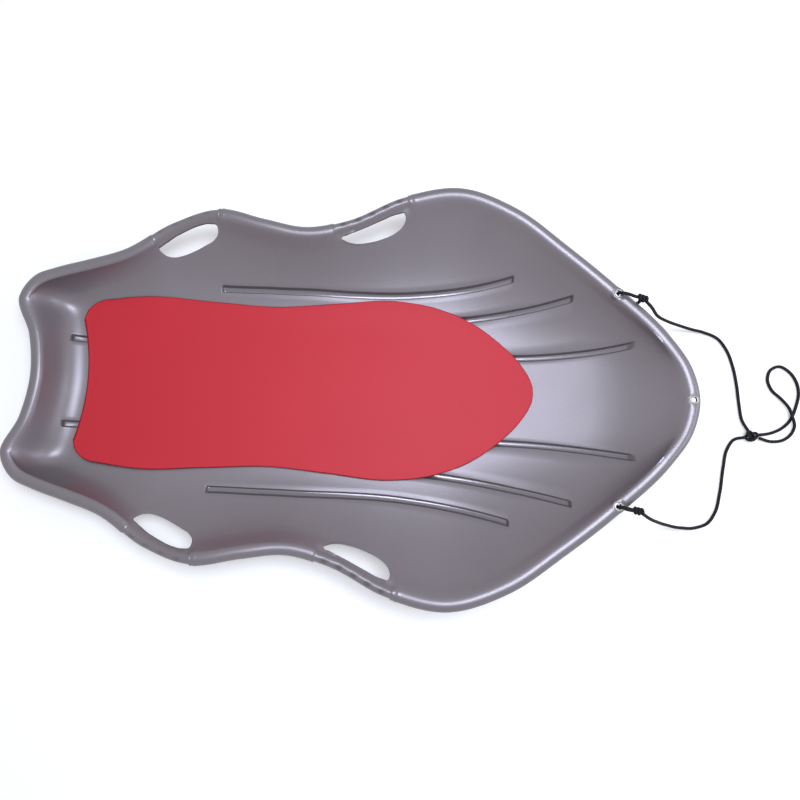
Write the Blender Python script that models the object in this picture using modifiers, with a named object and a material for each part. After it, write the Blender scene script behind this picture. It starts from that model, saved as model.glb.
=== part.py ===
"""Snow boat sled: one moulded plastic hull with a rolled rim, four hand grips and six
pressed runners, a red foam seat pad, three metal eyelets with their washers, and a black
tow rope with its ties, centre knot and hand loop.

Metres, +Z up. +X points to the nose, +Y to the rider's left. The sled stands on its two
inner runners at z = 0, and its hull is the same on both sides of the plane y = 0.
"""
import math

import bmesh
import bpy
import numpy as np
from mathutils import Vector
from mathutils.bvhtree import BVHTree

# Outer edge of the rim seen from above, left half: main stations
nose_x = 0.6080
cheek = (0.4687, 0.2035)
shoulder = (0.1850, 0.3750)
waist = (-0.0955, 0.2955)
hip = (-0.2500, 0.3180)
tail_corner = (-0.6095, 0.1440)
tail_x = -0.5750

# Height of the rim's crest at those stations
nose_height = 0.1440
cheek_height = nose_height - 0.0170
shoulder_height = 0.1200
waist_height = 0.0955
hip_height = 0.1045
corner_height = 0.0750
tail_height = 0.0725

# Hull wall, floor and side walls
hull_wall = 0.003
runner_depth = 0.008
floor_half_width = 0.120
floor_nose_half_width = 0.045
floor_narrows = (0.02, 0.42)
floor_share = 0.68
rocker_start_x = 0.17
rocker = 0.62
side_curve = 2.0
nose_wall_run = 0.142
nose_curve = 2.2
tail_wall_run = 0.050
tail_curve = 2.0

# Rolled rim
rim_width = 0.022
rim_drop = 0.020
rim_crest_inset = 0.0125
rim_shoulder_drop = 0.0030

# Pressed runners: start, end, distance from the middle, where they bend outwards, bend
sole_cut = 0.0004
runner_top_width = 0.0125
runner_draft = 0.0020
inner_runner = (-0.531, 0.509, 0.081, 0.27, 0.362)
middle_runner = (-0.020, 0.401, 0.140, 0.00, 0.292)
outer_runner = (-0.257, 0.295, 0.1905, 0.00, 0.405)

# Hand grips between their collars, and the slots inside them
rear_grip = (-0.382, -0.254)
front_grip = (-0.047, 0.088)
slot_cut_height = 0.12

# Seat pad, laid by hand a little to the left and turned, and its ends and half widths
pad_thickness = 0.005
pad_rear_x = -0.508
pad_front_x = 0.3385
pad_rear_half_width = 0.152
pad_bulge_half_width = 0.1605
pad_waist_half_width = 0.150
pad_front_half_width = 0.1685
pad_shift_y = 0.010
pad_turn_degrees = 0.8
pad_rear_hollow = 0.0165
pad_hollow_run = 0.16
pad_corner_radius = 0.038
pad_bulge_from_rear = 0.122
pad_waist_from_rear = 0.360
pad_widest_from_front = 0.264
pad_taper_from_front = (0.184, 0.124, 0.064, 0.024, 0.006)
pad_taper_shares = (0.935, 0.805, 0.565, 0.325, 0.150)
pad_lay = 0.0010
pad_step = 0.028
pad_strips = 8
clearance = 0.0003

# Eyelets: turned metal, clinched over a washer below; the two at the cheeks sit a little
# nearer the nose than their rim station
eyelet_advance = 0.011
nose_eyelet_inset = 0.0150
eyelet_bore_radius = 0.0047
eyelet_barrel_radius = 0.0053
eyelet_flange_radius = 0.0075
eyelet_flange_thickness = 0.0012
eyelet_foot_radius = 0.0066
eyelet_foot_thickness = 0.0008
washer_radius = 0.0068
washer_thickness = 0.0008
seat_depth = 0.0009
cutter_reach = 0.03

# Rope, its knots and its route: over the rim, down to the ground, and on to the centre knot
rope_diameter = 0.006
rope_lie_gap = 0.0002
rope_step = 0.020
knot_gap = 0.0009
eye_loop_step = 0.008
tie_knot_radii = (0.0105, 0.0064, 0.0060)
centre_knot_radii = (0.0135, 0.0110, 0.0090)
centre_knot_at = (0.7680, -0.0440, 0.0093)
left_tie_from_eyelet = (0.0385, -0.0107, 0.0095)
right_tie_from_eyelet = (0.0305, -0.0058, 0.0060)
left_leg_route = [
    (0.5300, 0.1680, 0.1180), (0.5560, 0.1610, 0.0850), (0.5877, 0.1602, 0.0550),
    (0.6233, 0.1596, 0.0300), (0.6532, 0.1581, 0.0140), (0.6800, 0.1556, 0.0060),
    (0.7092, 0.1450, 0.0031), (0.7263, 0.1234, 0.0031), (0.7384, 0.0906, 0.0031),
    (0.7449, 0.0555, 0.0031), (0.7490, 0.0158, 0.0031), (0.7540, -0.0160, 0.0045),
]
right_leg_route = [
    (0.5298, -0.2050, 0.1050), (0.5572, -0.2117, 0.0720), (0.5832, -0.2168, 0.0450),
    (0.6238, -0.2225, 0.0180), (0.6592, -0.2218, 0.0050), (0.6821, -0.2130, 0.0031),
    (0.6971, -0.1928, 0.0031), (0.7075, -0.1549, 0.0031), (0.7153, -0.1059, 0.0031),
    (0.7230, -0.0720, 0.0031), (0.7370, -0.0520, 0.0045),
]
hand_loop_route = [
    (0.8068, -0.0370, 0.0031), (0.8295, -0.0271, 0.0031), (0.8471, -0.0111, 0.0031),
    (0.8528, -0.0017, 0.0031), (0.8614, 0.0192, 0.0031), (0.8672, 0.0460, 0.0031),
    (0.8632, 0.0666, 0.0031), (0.8506, 0.0850, 0.0031), (0.8301, 0.0953, 0.0031),
    (0.8128, 0.0869, 0.0031), (0.8065, 0.0695, 0.0031), (0.8133, 0.0489, 0.0031),
    (0.8317, 0.0311, 0.0045), (0.8443, 0.0126, 0.0085), (0.8490, -0.0050, 0.0105),
    (0.8533, -0.0204, 0.0085), (0.8481, -0.0370, 0.0045), (0.8346, -0.0479, 0.0031),
    (0.8100, -0.0525, 0.0035),
]

# The doubled rope from the tie knot over the rim, down through the eyelet and back under
# the rim: share of the way from eyelet to knot, and height from the rim's crest
eye_loop_shape = [(0.58, 0.0085), (0.42, 0.0092), (0.26, 0.0085), (0.10, 0.0055),
                  (0.00, 0.0005), (0.00, -0.0070), (0.06, -0.0140), (0.24, -0.0210),
                  (0.50, -0.0245), (0.80, -0.0250), (1.02, -0.0200), (1.04, -0.0120)]

# Fineness of the hull surface, and the least room between its rows and columns
long_cells = 30
wall_cells = 5
column_room = 0.012
runner_row_room = 0.030
runner_edge_room = 0.004


def between(first, last, share, bulge):
    """A point at a share of the way from first to last, moved outwards by bulge."""
    run = np.subtract(last, first)
    outwards = np.array([run[1], -run[0]]) / np.hypot(run[0], run[1])
    point = np.array(first) + share * run + bulge * outwards
    return point[0], point[1]


def rim_stations():
    """The rim's outline from the nose to the middle of the tail, with its heights."""
    nose = (nose_x, 0.0)
    tail = (tail_x, 0.0)
    outline = [
        (nose, nose_height),
        (between(nose, cheek, 0.216, 0.0216), nose_height - 0.0010),
        (between(nose, cheek, 0.499, 0.0225), nose_height - 0.0030),
        (cheek, cheek_height),
        (between(cheek, shoulder, 0.339, 0.0161), cheek_height - 0.0050),
        (between(cheek, shoulder, 0.680, 0.0236), shoulder_height + 0.0025),
        (shoulder, shoulder_height),
        (between(shoulder, waist, 0.366, 0.0118), waist_height + 0.0130),
        (between(shoulder, waist, 0.737, -0.0038), waist_height + 0.0010),
        (waist, waist_height),
        (between(waist, hip, 0.478, -0.0021), hip_height - 0.0030),
        (hip, hip_height),
        (between(hip, tail_corner, 0.231, 0.0184), hip_height - 0.0180),
        (between(hip, tail_corner, 0.492, 0.0092), corner_height + 0.0015),
        (between(hip, tail_corner, 0.648, 0.0170), corner_height - 0.0005),
        (between(hip, tail_corner, 0.802, 0.0254), corner_height),
        (between(hip, tail_corner, 0.893, 0.0262), corner_height + 0.0010),
        (tail_corner, corner_height),
        (between(tail_corner, tail, 0.499, -0.0072), tail_height),
        (tail, tail_height),
    ]
    return np.array([(x, y, z) for (x, y), z in outline])


def smooth_curve(points, per_span):
    """A curve through the points, whose ends mirror in the plane y = 0.

    Each span is a cubic that keeps the slope the neighbouring chords give it, and a
    chord's length is the curve's parameter there.
    """
    mirror = np.array([1.0, -1.0, 1.0])
    full = np.vstack([points[1] * mirror, points, points[-2] * mirror])
    chord = np.linalg.norm(np.diff(full, axis=0), axis=1)
    slope = np.diff(full, axis=0) / chord[:, None]
    before, after = chord[:-1, None], chord[1:, None]
    tangent = (slope[:-1] * after + slope[1:] * before) / (before + after)
    share = np.linspace(0.0, 1.0, per_span, endpoint=False)[:, None]
    spans = []
    for span in range(len(points) - 1):
        start, end = full[span + 1], full[span + 2]
        length = chord[span + 1]
        spans.append((2 * share**3 - 3 * share**2 + 1) * start
                     + (share**3 - 2 * share**2 + share) * length * tangent[span]
                     + (3 * share**2 - 2 * share**3) * end
                     + (share**3 - share**2) * length * tangent[span + 1])
    return np.vstack(spans + [points[-1:]])


class Rim:
    """The rim's outer edge as a fine line, with its outward directions."""

    per_span = 24
    wall_corner_index = 2
    cheek_index = 3
    tail_corner_index = 17

    def __init__(self):
        self.line = smooth_curve(rim_stations(), self.per_span)
        along = np.gradient(self.line[:, :2], axis=0)
        along[0] = (0.0, 1.0)
        along[-1] = (0.0, -1.0)
        length = np.hypot(along[:, 0], along[:, 1])
        self.outwards = np.stack([along[:, 1], -along[:, 0]], axis=1) / length[:, None]
        steps = np.hypot(*np.diff(self.line[:, :2], axis=0).T)
        self.arc = np.concatenate([[0.0], np.cumsum(steps)])

    def at(self, arc):
        """Outer edge points and outward directions at the given distances."""
        line = np.stack([np.interp(arc, self.arc, self.line[:, k]) for k in range(3)], axis=-1)
        out = np.stack([np.interp(arc, self.arc, self.outwards[:, k]) for k in range(2)], axis=-1)
        return line, out / np.linalg.norm(out, axis=-1, keepdims=True)

    def arc_of_station(self, station):
        return self.arc[station * self.per_span]

    def arc_at_x(self, x):
        """Distance along the edge where its side, between cheek and corner, passes x."""
        side = slice(self.wall_corner_index * self.per_span, self.tail_corner_index * self.per_span)
        return np.interp(-x, -self.line[side, 0], self.arc[side])

    def inset(self, arc, depth):
        """Points at a depth inside the outer edge, as x, y and the crest's height."""
        line, out = self.at(arc)
        return np.concatenate([line[..., :2] - depth * out, line[..., 2:]], axis=-1)


RIM = Rim()
ARC_CHEEK = RIM.arc_of_station(Rim.wall_corner_index)
ARC_CORNER = RIM.arc_of_station(Rim.tail_corner_index)
ARC_TAIL = RIM.arc[-1]


def floor_height(x):
    """The floor along the middle: level, then rising like a parabola to the nose."""
    level = runner_depth + hull_wall - sole_cut
    return level + rocker * np.maximum(0.0, x - rocker_start_x) ** 2


def side_arc(u):
    return ARC_CORNER + (ARC_CHEEK - ARC_CORNER) * u


def nose_arc(v):
    return ARC_CHEEK * v


def tail_arc(v):
    return ARC_TAIL + (ARC_CORNER - ARC_TAIL) * v


def wall_top(arc):
    """Where the wall meets the rolled rim: x, y and height there."""
    top = RIM.inset(arc, rim_width)
    top[..., 2] -= rim_shoulder_drop
    return top


def hull_point(u, v):
    """The smooth inner surface of the left half; u runs from tail to nose, v outwards.

    In plan it is the patch that the four edges span: the middle line, the side, the tail
    and the nose. The height is the floor's, plus what each wall adds near its own edge,
    less what two walls would count twice in their corner.
    """
    side = wall_top(side_arc(u))
    tail = wall_top(tail_arc(v))
    nose = wall_top(nose_arc(v))
    corner = wall_top(np.array(ARC_CORNER))
    cheek = wall_top(np.array(ARC_CHEEK))
    tail_middle = wall_top(np.array(ARC_TAIL))
    nose_middle = wall_top(np.array(0.0))

    spine_x = side[..., 0] + (1 - u) * (tail_middle[0] - corner[0]) + u * (nose_middle[0] - cheek[0])
    x = ((1 - v) * spine_x + v * side[..., 0] + (1 - u) * tail[..., 0] + u * nose[..., 0]
         - (1 - u) * ((1 - v) * tail_middle[0] + v * corner[0])
         - u * ((1 - v) * nose_middle[0] + v * cheek[0]))
    y = (v * side[..., 1] + (1 - u) * tail[..., 1] + u * nose[..., 1]
         - (1 - u) * v * corner[1] - u * v * cheek[1])

    narrows_from, narrows_to = floor_narrows
    share = np.clip((spine_x - narrows_from) / (narrows_to - narrows_from), 0.0, 1.0)
    narrow = share**2 * (3 - 2 * share)
    half_width = floor_half_width + (floor_nose_half_width - floor_half_width) * narrow
    floor_v = np.minimum(half_width / side[..., 1], floor_share)
    side_rise = np.clip((v - floor_v) / (1 - floor_v), 0.0, 1.0) ** side_curve
    tail_rise = np.clip(1 - (spine_x - tail_middle[0]) / tail_wall_run, 0.0, 1.0) ** tail_curve
    nose_rise = np.clip(1 - (nose_middle[0] - spine_x) / nose_wall_run, 0.0, 1.0) ** nose_curve
    side_wall = side[..., 2] - floor_height(side[..., 0])
    tail_wall = tail[..., 2] - floor_height(tail[..., 0])
    nose_wall = nose[..., 2] - floor_height(nose[..., 0])
    corner_wall = corner[2] - floor_height(corner[0])
    cheek_wall = cheek[2] - floor_height(cheek[0])
    z = (floor_height(x) + side_wall * side_rise + tail_wall * tail_rise + nose_wall * nose_rise
         - corner_wall * side_rise * tail_rise - cheek_wall * side_rise * nose_rise)
    return np.stack([x, y, z], axis=-1)


def runner_y(runner, x):
    start, end, from_middle, bend_x, bend = runner
    return from_middle + bend * np.maximum(0.0, x - bend_x) ** 2


RUNNERS = (inner_runner, middle_runner, outer_runner)


def column_shares():
    """Values of u for the grid's columns, with a close pair at each runner's square end."""
    fine = np.linspace(0.0, 1.0, 2001)
    shares = np.linspace(0.0, 1.0, long_cells + 1)
    ends = []
    for runner in RUNNERS:
        for x_end, into in ((runner[0], 1.0), (runner[1], -1.0)):
            for x in (x_end, x_end + into * runner_draft):
                v = 0.5
                for _ in range(12):
                    u = np.interp(x, hull_point(fine, np.full_like(fine, v))[:, 0], fine)
                    line = hull_point(np.full_like(fine, u), fine)[:, 1]
                    v = np.interp(runner_y(runner, x), line, fine)
                ends.append((u, runner, x == x_end))
    inner = [s for s in shares[1:-1] if all(abs(s - e[0]) > column_room for e in ends)]
    columns = sorted([0.0, 1.0] + inner + [e[0] for e in ends])
    return np.array(columns), ends


def runner_rows(columns):
    """Per column, the four values of v at each runner's edges: top, foot, foot, top."""
    fine = np.linspace(0.0, 1.0, 801)
    half = runner_top_width / 2
    offsets = (-half, -half + runner_draft, half - runner_draft, half)
    rows = []
    for runner in RUNNERS:
        for offset in offsets:
            values = []
            for u in columns:
                line = hull_point(np.full_like(fine, u), fine)
                gap = line[:, 1] - runner_y(runner, line[:, 0]) - offset
                values.append(np.interp(0.0, gap, fine))
            values = np.array(values)
            x = hull_point(columns, values)[:, 0]
            inside = np.flatnonzero((x > runner[0] - 1e-4) & (x < runner[1] + 1e-4))
            values[:inside[0]] = values[inside[0]]
            values[inside[-1] + 1:] = values[inside[-1]]
            if rows:
                room = runner_row_room if len(rows) % 4 == 0 else runner_edge_room
                values = np.maximum(values, rows[-1] + room)
            rows.append(values)
    return rows


def floor_grid(columns):
    """The left half's inner surface before its runners are pressed in, as rows of points.

    The rows are the middle line, the runners' edges and the steps up the side wall.
    """
    edges = runner_rows(columns)
    wall = [edges[-1] + (1 - edges[-1]) * step / wall_cells for step in range(1, wall_cells + 1)]
    v = np.array([np.zeros_like(columns)] + edges + wall)
    return hull_point(np.broadcast_to(columns, v.shape), v)


def hull_grid():
    """The same surface with its runners pressed in, and the columns' values of u."""
    columns, ends = column_shares()
    points = floor_grid(columns)
    for number, runner in enumerate(RUNNERS):
        feet = [e[0] for e in ends if e[1] is runner and not e[2]]
        pressed = (columns >= min(feet) - 1e-9) & (columns <= max(feet) + 1e-9)
        for row in (4 * number + 2, 4 * number + 3):
            points[row, pressed, 2] -= runner_depth
    return points, columns


def rim_profile():
    """The rolled rim's section: distance outwards from the wall, height from the crest."""
    crest = rim_width - rim_crest_inset
    outer = rim_width
    return [
        (0.4 * crest, -0.0012),
        (crest, 0.0),
        (crest + 0.005, -0.0010),
        (outer - 0.0045, -0.0029),
        (outer - 0.0010, -0.0076),
        (outer, -rim_drop),
    ]


def hull_half():
    """Vertices and faces of the open left half: the inner surface and the rolled rim."""
    grid, columns = hull_grid()
    rows, cols = grid.shape[:2]
    verts = list(grid.reshape(-1, 3))
    index = np.arange(rows * cols).reshape(rows, cols)
    faces = []
    for r in range(rows - 1):
        for c in range(cols - 1):
            faces.append((index[r, c], index[r, c + 1], index[r + 1, c + 1], index[r + 1, c]))

    # The boundary from the nose along the side to the middle of the tail
    nose_rows = list(index[:, -1])
    side_cols = list(index[-1, ::-1])
    tail_rows = list(index[::-1, 0])
    edge = nose_rows + side_cols[1:] + tail_rows[1:]
    v_nose, v_tail = edge_shares(grid, columns)
    arcs = np.concatenate([nose_arc(v_nose), side_arc(columns[::-1])[1:], tail_arc(v_tail[::-1])[1:]])
    line, outwards = RIM.at(arcs)
    ring = edge
    for offset, height in rim_profile():
        inset = rim_width - offset
        points = np.concatenate([line[:, :2] - inset * outwards, line[:, 2:] + height], axis=1)
        points[0, 1] = 0.0
        points[-1, 1] = 0.0
        start = len(verts)
        verts.extend(points)
        new_ring = list(range(start, start + len(points)))
        for k in range(len(ring) - 1):
            faces.append((ring[k], ring[k + 1], new_ring[k + 1], new_ring[k]))
        ring = new_ring
    return verts, faces


def edge_shares(grid, columns):
    """The values of v of the grid's rows along the nose and along the tail."""
    fine = np.linspace(0.0, 1.0, 2001)
    nose_line = wall_top(nose_arc(fine))[:, 1]
    tail_line = wall_top(tail_arc(fine))[:, 1]
    v_nose = np.interp(grid[:, -1, 1], nose_line, fine)
    v_tail = np.interp(grid[:, 0, 1], tail_line, fine)
    return v_nose, v_tail


def new_collection(name):
    collection = bpy.data.collections.new(name)
    bpy.context.scene.collection.children.link(collection)
    return collection


def new_material(name, colour, roughness, metallic):
    material = bpy.data.materials.new(name)
    material.use_nodes = True
    shader = material.node_tree.nodes["Principled BSDF"]
    shader.inputs["Base Color"].default_value = (*colour, 1.0)
    shader.inputs["Roughness"].default_value = roughness
    shader.inputs["Metallic"].default_value = metallic
    return material


def add_object(name, mesh, collection, material=None):
    piece = bpy.data.objects.new(name, mesh)
    collection.objects.link(piece)
    if material is not None:
        mesh.materials.append(material)
    return piece


def mesh_from(name, verts, faces):
    mesh = bpy.data.meshes.new(name)
    mesh.from_pydata([tuple(map(float, v)) for v in verts], [], [tuple(map(int, f)) for f in faces])
    mesh.update()
    return mesh


def smooth(mesh, degrees=40):
    mesh.shade_smooth()
    mesh.set_sharp_from_angle(angle=math.radians(degrees))


def make_cutter(piece):
    piece.hide_render = True
    piece.display_type = "WIRE"


def subtract(piece, cutter):
    cut = piece.modifiers.new("cut_" + cutter.name, "BOOLEAN")
    cut.operation = "DIFFERENCE"
    cut.object = cutter


# Slot outlines: share of the grip's length from its rear collar, and depth inside the edge
REAR_SLOT = [(-0.012, 0.0275), (0.110, 0.0271), (0.231, 0.0262), (0.475, 0.0243), (0.719, 0.0238),
             (0.841, 0.0248), (0.956, 0.0292), (0.950, 0.0405), (0.856, 0.0484), (0.663, 0.0534),
             (0.468, 0.0557), (0.272, 0.0551), (0.100, 0.0495), (0.011, 0.0400)]
FRONT_SLOT = [(0.042, 0.0279), (0.150, 0.0261), (0.367, 0.0244), (0.585, 0.0250), (0.803, 0.0264),
              (0.906, 0.0292), (0.905, 0.0390), (0.844, 0.0465), (0.681, 0.0524), (0.510, 0.0516),
              (0.342, 0.0477), (0.179, 0.0410), (0.103, 0.0358)]


def slot_outline(grip, outline):
    """A slot's points in plan, tied to the rim between the grip's collars."""
    rear, front = RIM.arc_at_x(grip[0]), RIM.arc_at_x(grip[1])
    return [RIM.inset(rear + (front - rear) * share, depth) for share, depth in outline]


def slot_cutter(name, grip, outline, side, collection):
    """A prism over the slot's outline, tall enough to pass the wall."""
    curve = bpy.data.curves.new(name, "CURVE")
    curve.dimensions = "2D"
    curve.fill_mode = "BOTH"
    curve.extrude = slot_cut_height / 2
    curve.resolution_u = 3
    spline = curve.splines.new("BEZIER")
    points = slot_outline(grip, outline)
    spline.bezier_points.add(len(points) - 1)
    for handle, point in zip(spline.bezier_points, points):
        handle.co = (point[0], side * point[1], 0.0)
        handle.handle_left_type = "AUTO"
        handle.handle_right_type = "AUTO"
    spline.use_cyclic_u = True
    guide = bpy.data.objects.new(name, curve)
    collection.objects.link(guide)
    guide.location.z = points[0][2] - slot_cut_height / 4
    bpy.context.view_layer.update()
    depsgraph = bpy.context.evaluated_depsgraph_get()
    mesh = bpy.data.meshes.new_from_object(guide.evaluated_get(depsgraph))
    cutter = bpy.data.objects.new(name, mesh)
    cutter.matrix_world = guide.matrix_world.copy()
    collection.objects.link(cutter)
    bpy.data.objects.remove(guide)
    weld_and_turn_out(mesh)
    make_cutter(cutter)
    return cutter


def weld_and_turn_out(mesh):
    """Merge doubled points and turn every face outwards."""
    work = bmesh.new()
    work.from_mesh(mesh)
    bmesh.ops.remove_doubles(work, verts=work.verts, dist=0.00001)
    bmesh.ops.recalc_face_normals(work, faces=work.faces)
    work.to_mesh(mesh)
    work.free()


def cylinder(name, radius, bottom, top, centre, collection, segments=24):
    """A plain upright cylinder, used as a cutter."""
    mesh = bpy.data.meshes.new(name)
    work = bmesh.new()
    bmesh.ops.create_cone(work, cap_ends=True, segments=segments, radius1=radius, radius2=radius,
                          depth=top - bottom)
    work.to_mesh(mesh)
    work.free()
    piece = bpy.data.objects.new(name, mesh)
    piece.location = (centre[0], centre[1], (top + bottom) / 2)
    collection.objects.link(piece)
    make_cutter(piece)
    return piece


def ground_cutter(collection):
    """A slab below the ground, which planes the runners' soles flat."""
    mesh = bpy.data.meshes.new("ground")
    work = bmesh.new()
    bmesh.ops.create_cube(work, size=1.0)
    bmesh.ops.scale(work, vec=(2.4 * nose_x, 2.4 * shoulder[1], cutter_reach), verts=work.verts)
    work.to_mesh(mesh)
    work.free()
    slab = bpy.data.objects.new("ground", mesh)
    slab.location.z = -cutter_reach / 2
    collection.objects.link(slab)
    make_cutter(slab)
    return slab


def eyelet_places():
    """Name, centre and crest height of the three eyelets."""
    side = RIM.inset(RIM.arc_of_station(Rim.cheek_index) - eyelet_advance, rim_crest_inset)
    front = RIM.inset(np.array(0.0), nose_eyelet_inset)
    return [("left", side[0], side[1], side[2]),
            ("right", side[0], -side[1], side[2]),
            ("nose", front[0], 0.0, front[2])]


def eyelet_levels(crest):
    """Heights that the eyelet, the hull's seats and the washer share."""
    upper_seat = crest - seat_depth
    lower_seat = crest - hull_wall - clearance
    washer_top = lower_seat - clearance
    foot_top = washer_top - washer_thickness - clearance
    return upper_seat, lower_seat, washer_top, foot_top


def build_hull(parts, cutters, material):
    verts, faces = hull_half()
    hull = add_object("hull_shell", mesh_from("hull_shell", verts, faces), parts, material)
    work = bmesh.new()
    work.from_mesh(hull.data)
    bmesh.ops.recalc_face_normals(work, faces=work.faces)
    if sum(face.normal.z * face.calc_area() for face in work.faces) < 0:
        bmesh.ops.reverse_faces(work, faces=work.faces)
    work.to_mesh(hull.data)
    work.free()
    smooth(hull.data, 50)

    mirror = hull.modifiers.new("other_half", "MIRROR")
    mirror.use_axis = (False, True, False)
    mirror.merge_threshold = 0.00001
    wall = hull.modifiers.new("wall", "SOLIDIFY")
    wall.thickness = hull_wall
    wall.offset = -1.0
    wall.use_even_offset = True
    wall.use_quality_normals = True

    for side, word in ((1, "left"), (-1, "right")):
        for grip, outline, place in ((rear_grip, REAR_SLOT, "rear"), (front_grip, FRONT_SLOT, "front")):
            name = f"slot_{word}_{place}"
            subtract(hull, slot_cutter(name, grip, outline, side, cutters))
    subtract(hull, ground_cutter(cutters))
    for word, x, y, crest in eyelet_places():
        upper, lower, _, foot = eyelet_levels(crest)
        hole = cylinder(f"hole_{word}", eyelet_barrel_radius + clearance, crest - cutter_reach,
                        crest + cutter_reach, (x, y), cutters)
        seat = cylinder(f"seat_{word}", eyelet_flange_radius + clearance, upper,
                        crest + cutter_reach, (x, y), cutters)
        under = cylinder(f"under_{word}", washer_radius + clearance,
                         foot - 5 * eyelet_foot_thickness, lower, (x, y), cutters)
        for cutter in (hole, seat, under):
            subtract(hull, cutter)
    return hull


def floor_tree():
    """The hull's inner surface without its pressed runners, to set the pad's height."""
    columns, _ = column_shares()
    half = floor_grid(columns)
    whole = np.concatenate([half[:0:-1] * (1, -1, 1), half])
    rows, cols = whole.shape[:2]
    index = np.arange(rows * cols).reshape(rows, cols)
    faces = [(int(index[r, c]), int(index[r, c + 1]), int(index[r + 1, c + 1]), int(index[r + 1, c]))
             for r in range(rows - 1) for c in range(cols - 1)]
    return BVHTree.FromPolygons([Vector(p) for p in whole.reshape(-1, 3)], faces)


def pad_outline():
    """Half widths of the pad along its length: x and half width, rear to tip."""
    rear, front = pad_rear_x, pad_front_x
    bulge_x, waist_x = rear + pad_bulge_from_rear, rear + pad_waist_from_rear
    widest_x = front - pad_widest_from_front
    taper = [(front - run, share * pad_front_half_width)
             for run, share in zip(pad_taper_from_front, pad_taper_shares)]
    return [(rear, pad_rear_half_width - pad_corner_radius),
            (rear + 0.3 * pad_corner_radius, pad_rear_half_width - 0.28 * pad_corner_radius),
            (rear + 1.3 * pad_corner_radius, pad_rear_half_width),
            (bulge_x, pad_bulge_half_width),
            ((bulge_x + waist_x) / 2, (pad_bulge_half_width + pad_waist_half_width) / 2),
            (waist_x, pad_waist_half_width),
            ((waist_x + widest_x) / 2, (pad_waist_half_width + pad_front_half_width) / 2),
            (widest_x, pad_front_half_width)] + taper + [(front, 0.0)]


def open_curve(points, step):
    """Points at an even step along a smooth curve through the given points."""
    points = np.asarray(points, float)
    full = np.vstack([2 * points[0] - points[1], points, 2 * points[-1] - points[-2]])
    chord = np.linalg.norm(np.diff(full, axis=0), axis=1)
    slope = np.diff(full, axis=0) / chord[:, None]
    before, after = chord[:-1, None], chord[1:, None]
    tangent = (slope[:-1] * after + slope[1:] * before) / (before + after)
    share = np.linspace(0.0, 1.0, 24, endpoint=False)[:, None]
    fine = []
    for span in range(len(points) - 1):
        start, end, length = points[span], points[span + 1], chord[span + 1]
        fine.append((2 * share**3 - 3 * share**2 + 1) * start
                    + (share**3 - 2 * share**2 + share) * length * tangent[span]
                    + (3 * share**2 - 2 * share**3) * end
                    + (share**3 - share**2) * length * tangent[span + 1])
    fine = np.vstack(fine + [points[-1:]])
    arc = np.concatenate([[0.0], np.cumsum(np.linalg.norm(np.diff(fine, axis=0), axis=1))])
    count = max(2, int(round(arc[-1] / step)) + 1)
    at = np.linspace(0.0, arc[-1], count)
    return np.stack([np.interp(at, arc, fine[:, k]) for k in range(points.shape[1])], axis=-1)


def build_pad(parts, material):
    """The foam pad: a sheet that follows the floor, thickened upwards."""
    tree = floor_tree()
    outline = open_curve(pad_outline(), pad_step)
    x, half = outline[:, 0], outline[:, 1]
    across = np.linspace(-1.0, 1.0, pad_strips + 1)
    turn = math.radians(pad_turn_degrees)
    verts, faces = [], []
    for station in range(len(x)):
        fade = max(0.0, 1 - (x[station] - pad_rear_x) / pad_hollow_run) ** 3
        for t in across:
            px = x[station] + pad_rear_hollow * fade * (1 - t * t)
            py = t * half[station]
            wx = px * math.cos(turn) - py * math.sin(turn)
            wy = pad_shift_y + px * math.sin(turn) + py * math.cos(turn)
            hit = tree.ray_cast(Vector((wx, wy, 1.0)), Vector((0.0, 0.0, -1.0)))[0]
            verts.append((wx, wy, hit.z + pad_lay))
    width = len(across)
    for r in range(len(x) - 1):
        for c in range(width - 1):
            a = r * width + c
            faces.append((a, a + width, a + width + 1, a + 1))
    mesh = mesh_from("seat_pad", verts, faces)
    weld_and_turn_out(mesh)
    work = bmesh.new()
    work.from_mesh(mesh)
    if sum(face.normal.z * face.calc_area() for face in work.faces) < 0:
        bmesh.ops.reverse_faces(work, faces=work.faces)
    work.to_mesh(mesh)
    work.free()
    pad = add_object("seat_pad", mesh, parts, material)
    smooth(mesh)
    foam = pad.modifiers.new("foam", "SOLIDIFY")
    foam.thickness = pad_thickness
    foam.offset = 1.0
    return pad


def turned(name, section, centre, collection, material, steps=16):
    """A ring turned from a closed section of radius and height, outer side going down."""
    mesh = bpy.data.meshes.new(name)
    edges = [(k, (k + 1) % len(section)) for k in range(len(section))]
    mesh.from_pydata([(r, 0.0, z) for r, z in section], edges, [])
    piece = add_object(name, mesh, collection, material)
    piece.location = (centre[0], centre[1], 0.0)
    screw = piece.modifiers.new("turn", "SCREW")
    screw.steps = steps
    screw.render_steps = steps
    screw.use_merge_vertices = True
    screw.merge_threshold = 0.00001
    screw.use_smooth_shade = True
    return piece


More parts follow.
